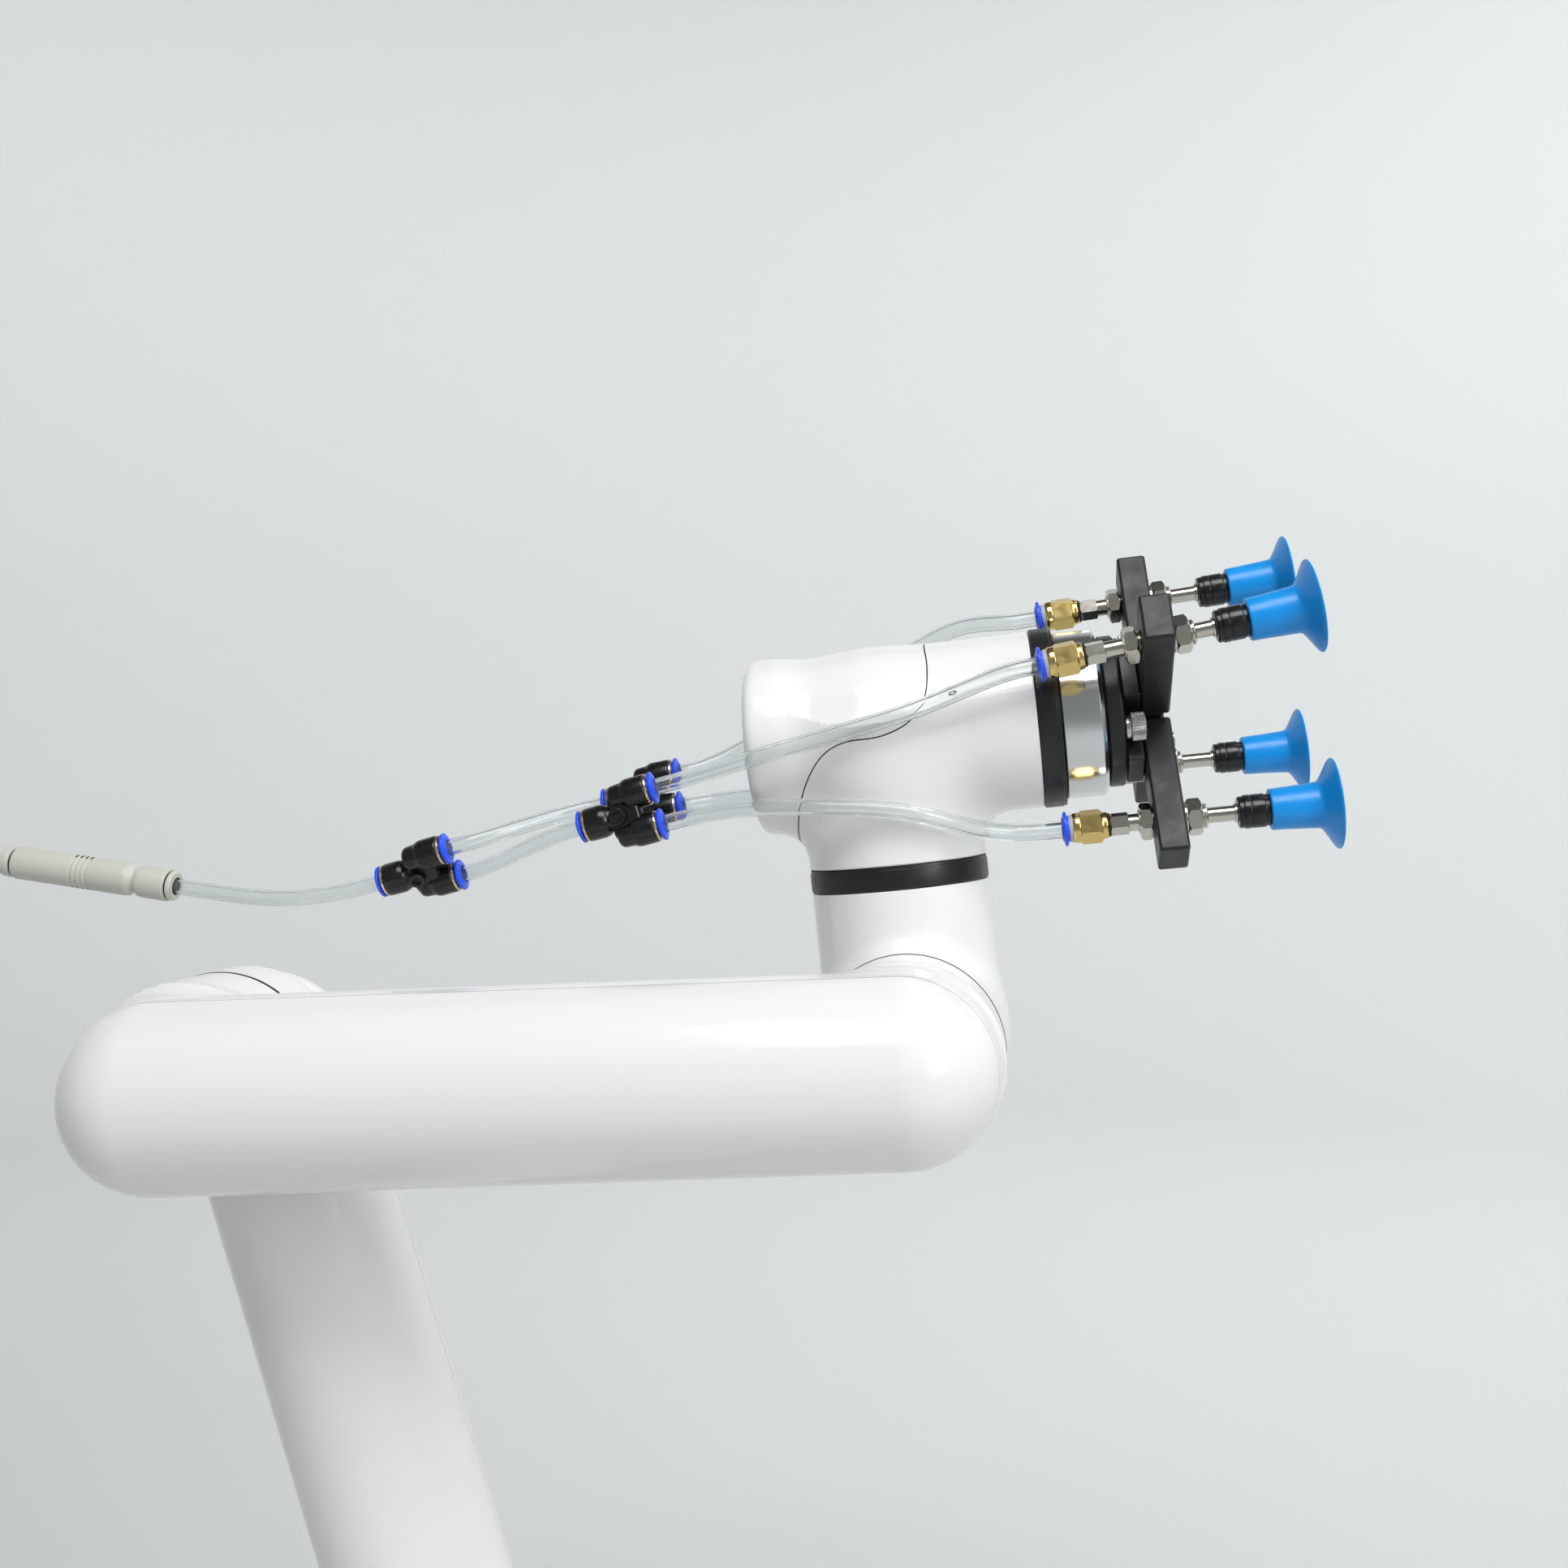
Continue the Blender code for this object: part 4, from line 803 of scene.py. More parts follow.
COLUMN_R = 32.2 * MM
WRIST_1_TOP = 53.9 * MM
WRIST_2_FOOT = -46.3 * MM
COVER_END = -48 * MM
BARREL_END = 54.6 * MM
BARREL_SHAPE = in_mm((-60, 32.2), (-36, 32.2), (-30, 31.1), (-24, 30.7), (-17, 31.4), (-6, 32.5),
                     (4, 32.4), (17, 31.5), (32, 31.6), (56, 32.0))
COVER_SEAM = in_mm((-34.5, 0, -40), (-33.4, 0, -31), (-28.6, 0, -17.5), (-21.3, 0, -6.9),
                   (-12.2, 0, -2.2), (0.6, 0, -1.5), (11.2, 0, 2.7), (17.2, 0, 11.2),
                   (18.6, 0, 21.9), (17.7, 0, 30), (17.4, 0, 40))


def smooth_points(controls, step):
    """A smooth curve through the control points, cut into nearly equal steps."""
    points = [Vector(c) for c in controls]
    points = [points[0] * 2 - points[1]] + points + [points[-1] * 2 - points[-2]]
    result = [points[1]]
    for p0, p1, p2, p3 in zip(points, points[1:], points[2:], points[3:]):
        count = max(1, round((p2 - p1).length / step))
        for i in range(1, count + 1):
            t = i / count
            result.append(0.5 * (2 * p1 + (p2 - p0) * t + (2 * p0 - 5 * p1 + 4 * p2 - p3) * t * t
                                 + (3 * p1 - p0 - 3 * p2 + p3) * t ** 3))
    return result


def seam_side(points, curve):
    """Signed distance to the end cover's seam in the XZ plane: negative on the cover's side."""
    spot = points[:, [0, 2]]
    best = np.full(len(spot), 1e9)
    side = np.zeros(len(spot))
    for a, b in zip(curve, curve[1:]):
        run = b - a
        t = np.clip(((spot - a) @ run) / (run @ run), 0, 1)
        gap = spot - a - t[:, None] * run
        reach = np.linalg.norm(gap, axis=1)
        cross = run[0] * gap[:, 1] - run[1] * gap[:, 0]
        closer = reach < best - 1e-12
        best = np.where(closer, reach, best)
        side = np.where(closer, -np.sign(cross), side)
    return best * side


def make_wrist_1():
    def distance(p):
        column = capsule(p, 90 * MM, COLUMN_R, COLUMN_R, 2)
        side = np.maximum(np.hypot(p[:, 0], p[:, 2]) - WRIST_BOSS_R, p[:, 1])
        return blend_union(column, side, 8 * MM)

    skin = Skin(distance, (-37 * MM, -WRIST_1_FACE - 6 * MM, -37 * MM),
                (37 * MM, 36 * MM, WRIST_1_TOP + 6 * MM), SHELL_STEP)
    border = skin.clip(lambda p: -p[:, 1] - (WRIST_1_FACE - CHAMFER))
    boss_face(skin, border, (0, 0, 0), WRIST_1_FACE, 20 * MM, -1)
    rim(skin, skin.clip(lambda p: p[:, 2] - (WRIST_1_TOP - RIM_CHAMFER)), 2, WRIST_1_TOP)
    cast(skin, "wrist_1_shell", WRIST_1, "wrist_1", "wrist_1_housing")


def barrel_radius():
    """The barrel's shape along X, with its corners smoothed away."""
    shape_x, shape_r = zip(*BARREL_SHAPE)
    fine_x = np.linspace(shape_x[0], shape_x[-1], 400)
    window = np.hanning(41)
    padded = np.pad(np.interp(fine_x, shape_x, shape_r), 20, mode="edge")
    return fine_x, np.convolve(padded, window / window.sum(), "valid")


def make_wrist_2():
    fine_x, fine_r = barrel_radius()
    curve = np.array([(p.x, p.z) for p in smooth_points(COVER_SEAM, 2 * MM)])

    def distance(p):
        rho = np.hypot(p[:, 1], p[:, 2])
        barrel = rho - np.interp(p[:, 0], fine_x, fine_r)
        barrel = -blend_union(-barrel, p[:, 0] - COVER_END, 5 * MM)
        column = np.maximum(np.hypot(p[:, 0], p[:, 1]) - COLUMN_R, p[:, 2])
        return blend_union(barrel, column, 13 * MM)

    def foot(p):
        return np.where(np.hypot(p[:, 0], p[:, 1]) < 40 * MM,
                        WRIST_2_FOOT + RIM_CHAMFER - p[:, 2], -1.0)

    low = (COVER_END - 6 * MM, -37 * MM, WRIST_2_FOOT - 6 * MM)
    high = (BARREL_END + 6 * MM, 37 * MM, 37 * MM)
    wall = 2.2 * MM
    housing = Skin(distance, low, high, SHELL_STEP)
    rim(housing, housing.clip(lambda p: p[:, 0] - (BARREL_END - RIM_CHAMFER)), 0, BARREL_END)
    rim(housing, housing.clip(foot), 2, WRIST_2_FOOT)
    lip(housing, housing.clip(lambda p: -seam_side(p, curve) + SEAM / 2), wall)
    cast(housing, "wrist_2_shell", WRIST_2, "wrist_2", "wrist_2_housing")
    cover = Skin(distance, low, high, SHELL_STEP)
    lip(cover, cover.clip(lambda p: seam_side(p, curve) + SEAM / 2), wall)
    cast(cover, "wrist_2_cover", WRIST_2, "wrist_2", "wrist_2_end_cover")


def make_gap_shadow_rings():
    """Thin black rings in the gaps at the elbow and the wrist's tilting joint: painted shadow, a
    dark line where the gap lies in shade.
    """
    gap = 0.3 * MM
    reach = 0.6 * MM
    spots = (("elbow", UPPER_ARM, (0, -UPPER_FACE - gap / 2, UPPER_ARM_LENGTH), ELBOW_R,
              "upper_arm"),
             ("wrist", WRIST_1, (0, -WRIST_1_FACE - gap / 2, 0), WRIST_BOSS_R, "wrist_1"))
    for name, frame_of, spot, radius, body in spots:
        ring = band(f"{name}_gap_shadow_ring", -reach, reach, radius - 5 * MM, radius + 0.12 * MM,
                    along_minus_y(frame_of, spot), 0.1 * MM, 144)
        dress(ring, "black_seal_and_painted_shade", body)


# --- base and shoulder ------------------------------------------------------------------------

BOLT_CIRCLE_R = 87 * MM
SHOULDER_FOOT = 100.3 * MM
SHOULDER_R = 48 * MM
SHOULDER_BORE = 30 * MM
SHOULDER_TUBE_R = 48.4 * MM
SHOULDER_FRONT = -50 * MM
SHOULDER_REAR = 72.3 * MM
PANEL_FACE = 79 * MM
PANEL_Z = (16 * MM, 56 * MM)
PORTS = ((-20, 8), (2, 7), (22, 6))     # middle and half width, in mm
SOCKETS_X = (-22, -2)
BUTTON_X = 22
ROW_Z = 44                              # the sockets' and the button's height, in mm


def make_shoulder():
    """A squat column with a tube across its top that carries the second joint."""
    height = SHOULDER_AT.z

    def distance(p):
        column = np.maximum(np.hypot(p[:, 0], p[:, 1]) - SHOULDER_R, p[:, 2] - height)
        tube_d = np.hypot(p[:, 0], p[:, 2] - height) - SHOULDER_TUBE_R
        return blend_union(column, tube_d, 16 * MM)

    skin = Skin(distance, (-54 * MM, SHOULDER_FRONT - 6 * MM, SHOULDER_FOOT - 6 * MM),
                (54 * MM, SHOULDER_REAR + 6 * MM, height + 54 * MM), 2 * MM)
    border = skin.clip(lambda p: p[:, 1] - (SHOULDER_REAR - CHAMFER))
    boss_face(skin, border, (0, 0, height), SHOULDER_REAR, SHOULDER_BORE, 1)
    border = skin.clip(lambda p: (SHOULDER_FRONT + CHAMFER) - p[:, 1])
    boss_face(skin, border, (0, 0, height), -SHOULDER_FRONT, SHOULDER_BORE, -1)
    rim(skin, skin.clip(lambda p: (SHOULDER_FOOT + RIM_CHAMFER) - p[:, 2]), 2, SHOULDER_FOOT)
    cast(skin, "shoulder_shell", WORLD, "shoulder", "shoulder_housing")
    cap = in_mm((0.3, 0), (0.3, 45.4), (0.7, 46.4), (1.3, 46.6), (3.2, 45.6), (6.2, 41.5),
                (8.6, 34.0), (10.2, 22.0), (10.9, 10.0), (11.0, 0))
    seat = along_minus_y(WORLD, (0, SHOULDER_FRONT, height))
    dress(turned("shoulder_end_cap", cap, seat, 3 * MM, 144), "white_gloss", "shoulder",
          "shoulder_cap")


def make_base_plate():
    plate = turned("plate", in_mm((0, 0), (0, 95.2), (0.8, 96), (9.2, 96), (10, 95.2), (10, 0)),
                   along_z(WORLD), 0.2 * MM, 160)
    for i in range(4):
        angle = math.radians(45 + 90 * i)
        spot = (BOLT_CIRCLE_R * math.cos(angle), BOLT_CIRCLE_R * math.sin(angle), 0)
        profile = in_mm((-5, 0), (-5, 3.5), (9.3, 3.5), (10.2, 4.4), (15, 4.4), (15, 0))
        cut_out(plate, turned("hole", profile, along_z(WORLD, spot), 0.01 * MM, 48))
    dress(plate, "base_steel", "base", "base_plate")


def make_base_housing():
    """A turned housing with a squared-off back, where a window holds the connector panel."""
    shape = in_mm((10.3, 73), (10.3, 77.4), (11.2, 78), (38, 78), (50, 76.4), (60, 72.4),
                  (72, 65.8), (84, 60.2), (92, 57.6), (96.2, 56.3), (97, 55.6), (97, 46),
                  (92, 46), (92, 52))
    housing = turned("housing", shape, along_z(WORLD), 2.0 * MM, 160, closed=True,
                     smooth_angle=50)
    back = rounded_box("housing_back", *in_mm((-38, 52, 10.3), (38, 82, 64)), WORLD, 3.2 * MM, 4)
    low, high = (z / MM for z in PANEL_Z)
    for shell in (back, housing):
        cut_out(shell, rounded_box("window", *in_mm((-33.3, 48, low - 0.3), (33.3, 95, high + 0.3)),
                                   WORLD, 1.2 * MM))
    dress(merged("housing", [housing, back]), "white_gloss", "base", "base_housing")


def on_panel(x, z):
    """A frame on the panel's face whose X looks out."""
    return Matrix.Translation((x * MM, PANEL_FACE, z * MM)) @ Matrix.Rotation(math.pi / 2, 4, "Z")


def make_panel():
    """The connector panel with its sockets, ports and the well of the power button."""
    at_face = Matrix.Translation((0, PANEL_FACE, 0))
    panel = rounded_box("panel", (-33 * MM, -9 * MM, PANEL_Z[0]), (33 * MM, 0, PANEL_Z[1]),
                        at_face, 0.6 * MM)
    for x, half in PORTS:
        cut_out(panel, rounded_box("port", *in_mm((x - half, -6.5, 21), (x + half, 5, 31)),
                                   at_face, 0.8 * MM))
    for x in SOCKETS_X:
        cut_out(panel, band("socket", -6.5 * MM, 5 * MM, 0, 5.5 * MM, on_panel(x, ROW_Z),
                            0.1 * MM))
    cut_out(panel, band("well", -8 * MM, 5 * MM, 0, 7.3 * MM, on_panel(BUTTON_X, ROW_Z),
                        0.1 * MM))
    dress(panel, "black_panel", "base", "connector_panel")
    for i, x in enumerate(SOCKETS_X):
        make_socket(i, on_panel(x, ROW_Z))
    for i, (x, half) in enumerate(PORTS):
        tongue = rounded_box(f"port_tongue_{i}", *in_mm((x - half + 2.2, -6.6, 25.2),
                                                        (x + half - 2.2, -1.4, 26.8)),
                             at_face, 0.25 * MM)
        dress(tongue, "pale_washer", "base")
    make_button(on_panel(BUTTON_X, ROW_Z))
    for i, (x, z) in enumerate(((-30, 19), (30, 19), (-30, 53), (30, 53))):
        socket_screw(f"panel_screw_{i}", on_panel(x, z), 1.7 * MM, 0.9 * MM, "base")


def make_socket(number, seat):
    """A round socket's collar and its five pins."""
    collar = turned(f"socket_collar_{number}", in_mm(
        (-0.2, 5.5), (-0.2, 8.2), (0.7, 8.2), (0.8, 7.5), (2.6, 7.4), (2.6, 5.5)), seat,
        0.25 * MM, closed=True)
    dress(collar, "nickel", "base")
    shape = in_mm((-6.4, 0), (-6.4, 0.5), (-2.0, 0.5), (-1.6, 0.25), (-1.6, 0))
    pins = 5
    for j in range(pins):
        angle = 2 * math.pi * j / pins + 0.6
        spot = (0, 2.9 * MM * math.cos(angle), 2.9 * MM * math.sin(angle))
        pin = turned(f"socket_{number}_pin_{j}", shape, seat @ Matrix.Translation(spot),
                     0.05 * MM, 24)
        dress(pin, "brass", "base")


def make_button(seat):
    button = turned("button", in_mm((-10, 0), (-10, 7.0), (2.0, 7.0), (2.8, 6.2), (2.2, 5.4),
                                    (1.9, 4.0), (1.8, 0)), seat, 0.4 * MM, 96)
    dress(button, "black_ring", "power_button", "power_button")
    ring = band("button_ring", -0.1 * MM, 0.5 * MM, 7.35 * MM, 8.3 * MM, seat, 0.15 * MM, 96)
    dress(ring, "nickel", "base")


def finish_inner_nodes():
    """Drives and circuit board stay as the CAD has them, in finishes of their own."""
    for name, node in frame["nodes"].items():
        if name.endswith("_drive") or name == "controller_board":
            finish = "drive_metal" if name.endswith("_drive") else "circuit_board"
            node.data.materials.clear()
            node.data.materials.append(FINISHES[finish][0])


# --- rings, flange and gripper ----------------------------------------------------------------

def make_wrist_rings():
    """The black sealing rings at the last two joints."""
    def ring(low, high, radius, bore=24 * MM):
        lip = 0.3 * MM
        return [(low, bore), (low, radius - lip), (low + lip, radius), (high - 1.1 * MM, radius),
                (high - 1.0 * MM, radius - lip), (high, radius - lip), (high, bore)]

    ring_5 = turned("column_ring", ring(-54.6 * MM, -46.6 * MM, 32.3 * MM), along_z(WRIST_2),
                    0.12 * MM, 144, closed=True)
    dress(ring_5, "black_ring", "wrist_2", "joint_5_seal")
    ring_6 = turned("tool_ring", ring(54.9 * MM, 62.6 * MM, 32.2 * MM), WRIST_2, 0.12 * MM, 144,
                    closed=True)
    dress(ring_6, "black_ring", "tool", "joint_6_seal")


FLANGE = (62.9 * MM, 77.8 * MM)
FLANGE_R = 29.8 * MM
ADAPTER = (78.1 * MM, 84.0 * MM)
ADAPTER_R = 27 * MM
HUB_BACK = 84.3 * MM
ARM_PLANE = 95.5 * MM
ARM_T = 10.3 * MM
ARM_W = 17 * MM
ARM_SPAN = (9 * MM, 60 * MM)
CUP_CIRCLE_R = 44.8 * MM
CUPS = {
    "near_top": (27.5, 6.0, -3.0 * MM),
    "far_top": (117.5, 2.5, 0.0),
    "far_bottom": (207.5, 0.0, 2.0 * MM),
    "near_bottom": (297.5, 0.0, 0.5 * MM),
}


def make_flange():
    low, high = FLANGE
    r = FLANGE_R
    profile = [(low, 0.0), (low, r - 0.5 * MM), (low + 0.5 * MM, r), (high - 1.6 * MM, r),
               (high - 0.3 * MM, r - 1.5 * MM), (high, r - 2.2 * MM), (high, 0.0)]
    dress(turned("turned_flange", profile, WRIST_2, 0.08 * MM, 160), "turned_aluminium", "tool",
          "tool_flange")
    low, high = ADAPTER
    r = ADAPTER_R
    profile = [(low, 0.0), (low, r - 0.9 * MM), (low + 0.7 * MM, r), (high - 0.8 * MM, r),
               (high, r - 0.8 * MM), (high, 0.0)]
    dress(turned("adapter", profile, WRIST_2, 0.2 * MM, 144), "black_anodised", "tool",
          "adapter_disc")


def arm_frame(angle):
    """Turns the tool's frame so that Z runs out along a gripper arm."""
    return WRIST_2 @ Matrix.Rotation(math.radians(90 - angle), 4, "X")


def socket_screw(name, place, radius, length, body, finish="steel_screw"):
    """A small cylindrical screw head with a hexagon socket, along X from its seat."""
    socket_r = radius * 0.55
    profile = [(0.0, 0.0), (0.0, radius), (length, radius), (length, socket_r)]
    profile += [(length * 0.35, socket_r * 0.98), (length * 0.35, 0.0)]
    dress(turned(name, profile, place, 0.12 * MM, 48), finish, body)


def make_hub():
    first = CUPS["near_top"][0]
    back = ARM_PLANE - ARM_T / 2 - 0.3 * MM
    half = ARM_W / 2
    bars = []
    for turn in (0, 90):
        bars.append(rounded_box(f"hub_bar_{turn}", (HUB_BACK, -half, -25 * MM),
                                (back, half, 25 * MM), arm_frame(first + turn), 0.5 * MM))
    bars.append(rounded_box("hub_boss", (HUB_BACK + 1 * MM, -7.5 * MM, -7.5 * MM),
                            (ARM_PLANE + 3 * MM, 7.5 * MM, 7.5 * MM), arm_frame(first), 0.8 * MM))
    dress(merged("hub", bars), "black_anodised", "tool", "gripper_hub")
    middle = (HUB_BACK + back) / 2
    for name, (angle, _, _) in CUPS.items():
        for i, reach in enumerate((13.5 * MM, 21.5 * MM)):
            for letter, side in (("a", 1), ("b", -1)):
                seat = arm_frame(angle) @ Matrix.Translation((middle, side * half, reach))
                place = seat @ Matrix.Rotation(side * math.pi / 2, 4, "Z")
                sunk = place @ Matrix.Translation((-1.4 * MM, 0, 0))
                socket_screw(f"set_screw_{name}_{i}_{letter}", sunk, 1.7 * MM, 1.45 * MM, "tool",
                             "black_seal_and_painted_shade")


def thumb_screw(name, place):
    """A knurled head on a short plain neck."""
    ridge = (0.0, 0.12, 0.28, 0.12)       # one tooth's depth round the head, in mm
    count = 40 * len(ridge)
    neck = band(f"{name}_neck", -1.6 * MM, 0.1 * MM, 0.0, 4.2 * MM, place, 0.2 * MM)
    rings = []
    for x, radius, depth in ((0.0, 4.45, 0.0), (0.35, 5.0, 0.5), (0.8, 5.0, 1.0), (4.4, 5.0, 1.0),
                             (4.8, 5.0, 0.5), (5.1, 4.5, 0.0), (5.1, 2.6, 0.0), (3.0, 2.5, 0.0)):
        ring = []
        for j in range(count):
            angle = 2 * math.pi * j / count
            r = radius - ridge[j % len(ridge)] * depth
            ring.append((x, r * math.cos(angle), r * math.sin(angle)))
        rings.append(in_mm(*ring))
    head = loft(f"{name}_head", rings, place, smooth_angle=38)
    dress(merged(name, [head, neck]), "steel_screw", "tool")


def make_gripper():
    half = ARM_W / 2
    for name, (angle, _, _) in CUPS.items():
        place = arm_frame(angle)
        arm = rounded_box(f"arm_{name}", (ARM_PLANE - ARM_T / 2, -half, ARM_SPAN[0]),
                          (ARM_PLANE + ARM_T / 2, half, ARM_SPAN[1]), place, 1.1 * MM, 4)
        dress(arm, "black_anodised", "tool", f"gripper_arm_{name}")
        for i, reach in enumerate((14 * MM, 21 * MM)):
            seat = place @ Matrix.Translation((ARM_PLANE + ARM_T / 2 - 0.1 * MM, 0, reach))
            socket_screw(f"arm_screw_{name}_{i}", seat, 2.6 * MM, 1.2 * MM, "tool")
    for i in range(4):
        angle = math.radians(-17.5 + 90 * i)
        spot = (HUB_BACK + 1.6 * MM, -22.3 * MM * math.cos(angle), 22.3 * MM * math.sin(angle))
        thumb_screw(f"thumb_screw_{i}", WRIST_2 @ Matrix.Translation(spot))


def cup_place(name, rod=False):
    """A cup's frame on its arm's middle plane, X along the cup; rod adds how far it stands out."""
    angle, tilt, out = CUPS[name]
    turn = math.radians(angle)
    spot = (ARM_PLANE, -CUP_CIRCLE_R * math.cos(turn), CUP_CIRCLE_R * math.sin(turn))
    place = WRIST_2 @ Matrix.Translation(spot) @ Matrix.Rotation(-math.radians(tilt), 4, "Y")
    return place @ Matrix.Translation((out, 0, 0)) if rod else place


NUT_R = 6.5 * MM
REAR_NUT_T = 4.2 * MM
FRONT_NUT_T = 4.9 * MM
SLEEVE_R = 4.35 * MM
SLEEVE_BORE_R = 3.35 * MM
THREAD_PITCH = 0.75 * MM
THREAD_DEPTH = 0.35 * MM


def thread_profile(start, end):
    """A threaded sleeve's outline, with plain chamfered ends."""
    profile = [(start, SLEEVE_BORE_R), (start, SLEEVE_R - 0.5 * MM), (start + 0.4 * MM, SLEEVE_R)]
    x = start + 0.6 * MM
    while x + THREAD_PITCH < end - 0.3 * MM:
        for part, depth in ((0, 0), (0.35, THREAD_DEPTH), (0.55, THREAD_DEPTH), (0.9, 0)):
            profile.append((x + part * THREAD_PITCH, SLEEVE_R - depth))
        x += THREAD_PITCH
    return profile + [(end - 0.4 * MM, SLEEVE_R - 0.05 * MM), (end, SLEEVE_R - 0.5 * MM),
                      (end, SLEEVE_BORE_R)]


def make_sleeve(name):
    """A threaded sleeve with its nuts and washer, tilted in its arm as far as its cup is."""
    tilt = math.radians(CUPS[name][1])
    clear = 0.4 * MM + NUT_R * math.sin(tilt)
    rear = -ARM_T / 2 - clear
    front = ARM_T / 2 + max(1.1 * MM, clear)
    place = cup_place(name)
    profile = thread_profile(rear - REAR_NUT_T - 0.5 * MM, front + FRONT_NUT_T + 1.8 * MM)
    pieces = [
        turned(f"thread_{name}", profile, place, 0.05 * MM, 48, closed=True),
        hexagon(f"rear_nut_{name}", rear - REAR_NUT_T, rear, NUT_R, place, 0.75 * MM,
                math.radians(20)),
        hexagon(f"front_nut_{name}", front, front + FRONT_NUT_T, NUT_R, place, 0.75 * MM,
                math.radians(38)),
        band(f"nut_washer_{name}", front - 0.95 * MM, front - 0.1 * MM, 4.4 * MM, 5.6 * MM, place,
             0.1 * MM),
    ]
    dress(merged(f"sleeve_{name}", pieces), "nickel", "tool", f"compensator_sleeve_{name}")


def make_rod(name):
    """The sprung rod with its flats."""
    place = cup_place(name, rod=True)
    shaft = turned(f"shaft_{name}", in_mm(
        (-19.3, 0), (-19.3, 3.0), (-14.0, 3.0), (4.4, 3.0), (5.0, 2.7), (21.6, 2.7),
        (21.65, 3.25), (22.5, 3.25), (22.5, 0)), place, 0.1 * MM, 64)
    flats = hexagon(f"flats_{name}", -20.2 * MM, -14.0 * MM, 3.95 * MM, place, 0.35 * MM,
                    math.radians(15))
    dress(merged(f"rod_{name}", [shaft, flats]), "nickel", f"cup_{name}",
          f"compensator_rod_{name}")


def make_fitting(name):
    """The push-in fitting on the rod's rear end, bored so that the hose can slide into it."""
    place = cup_place(name, rod=True)
    body = f"cup_{name}"
    seal = band(f"fitting_seal_{name}", -20.9 * MM, -20.2 * MM, 0, 4.1 * MM, place, 0.25 * MM, 48)
    dress(seal, "black_seal_and_painted_shade", body)
    round_part = turned(f"fitting_body_{name}", in_mm(
        (-22.5, 0), (-22.5, 3.25), (-33.1, 3.25), (-33.1, 4.9), (-32.2, 5.3), (-30.6, 5.3),
        (-30.2, 5.0), (-29.0, 5.0), (-24.5, 5.0), (-23.2, 4.9), (-22.6, 4.7), (-21.2, 4.5),
        (-20.9, 4.0), (-20.9, 0)), place, 0.3 * MM)
    hexed = hexagon(f"fitting_hex_{name}", -30.6 * MM, -23.0 * MM, 6.0 * MM, place, 0.7 * MM,
                    math.radians(17), bore=4.0 * MM)
    dress(merged(f"fitting_{name}", [round_part, hexed]), "brass", body, f"push_fitting_{name}")
    washer = turned(f"fitting_washer_{name}", in_mm(
        (-34.4, 3.2), (-34.4, 4.6), (-33.0, 4.9), (-33.0, 3.2)), place, 0.2 * MM, 64,
        closed=True)
    dress(washer, "pale_washer", body)
    release_collar(f"fitting_collar_{name}", place, -36.6 * MM, -1, 6.0 * MM, body)


def make_cup(name):
    """The holder on the rod's front end and the suction cup with its thin lip."""
    place = cup_place(name, rod=True)
    holder = turned(f"holder_{name}", in_mm(
        (22.8, 2.9), (22.8, 5.0), (23.2, 5.45), (24.7, 5.45), (24.8, 5.8), (26.9, 5.8),
        (27.0, 5.6), (27.3, 5.6), (27.4, 5.8), (31.6, 5.8), (31.7, 5.45), (33.2, 5.45),
        (33.2, 2.9)), place, 0.15 * MM, 96, closed=True)
    dress(holder, "black_holder", f"cup_{name}", f"cup_holder_{name}")
    outside = ((33.3, 0.0), (33.3, 5.2), (33.3, 6.7), (33.7, 7.1), (40.0, 7.35), (47.5, 7.8),
               (49.2, 7.95), (50.1, 8.4), (51.2, 9.9), (52.8, 12.6), (54.1, 14.8), (54.7, 15.5),
               (55.2, 15.55))
    inside = ((55.2, 15.0), (54.3, 13.9), (52.8, 11.3), (51.4, 8.9), (50.2, 6.3), (49.6, 5.3),
              (46.0, 5.1), (38.4, 4.9), (38.2, 0.0))
    cup = turned(f"cup_{name}", in_mm(*outside, *inside), place, 0.35 * MM, 128)
    dress(cup, "blue_silicone", f"cup_{name}", f"suction_cup_{name}")


def release_collar(name, place, face, side, radius, body):
    """A push-in end's blue collar: a rounded disc with a raised hub round the hose.
    The face looks along side * X."""
    def at(depth, r):
        return (face - side * depth * MM, r * MM)

    flange_r = radius / MM
    profile = [at(2.5, 3.2), at(2.5, 4.5), at(1.75, 4.5), at(1.7, flange_r - 0.3),
               at(1.4, flange_r), at(0.75, flange_r), at(0.45, flange_r - 0.5), at(0.3, 4.4),
               at(0.0, 4.1), at(-0.15, 3.9), at(-0.15, 3.2)]
    if side > 0:
        profile.reverse()
    dress(turned(name, profile, place, 0.15 * MM, 72, closed=True), "blue_collar", body)


# --- vacuum line ------------------------------------------------------------------------------

SPLITTERS = {
    "splitter_near": ((-113.9, -14.0, -22.4), 9.5, 0.0),
    "splitter_far": ((-111.8, 16.0, -14.6), 5.0, -20.0),
    "splitter_main": ((-196.3, -4.0, -35.5), 9.5, 40.0),
}
SPLITTER_LENGTH = 31.5 * MM
OUTLET_SPACING = 13.7 * MM
EJECTOR_ENDS = ((-348.3, -4.0, -12.7), (-278.3, -4.0, -29.4))
SLOTS = 4                 # exhaust slots, their first's place and their pitch, in mm
SLOTS_START = 30
SLOT_PITCH = 2.1
HOSE_R = 3 * MM
HOSE_BORE_R = 2 * MM
HOSE_STEP = 1.6 * MM
HOSE_SIDES = 36


def splitter_place(name):
    spot, pitch, roll = SPLITTERS[name]
    return (WRIST_2 @ Matrix.Translation(Vector(spot) * MM)
            @ Matrix.Rotation(-math.radians(pitch), 4, "Y")
            @ Matrix.Rotation(math.radians(roll), 4, "X"))


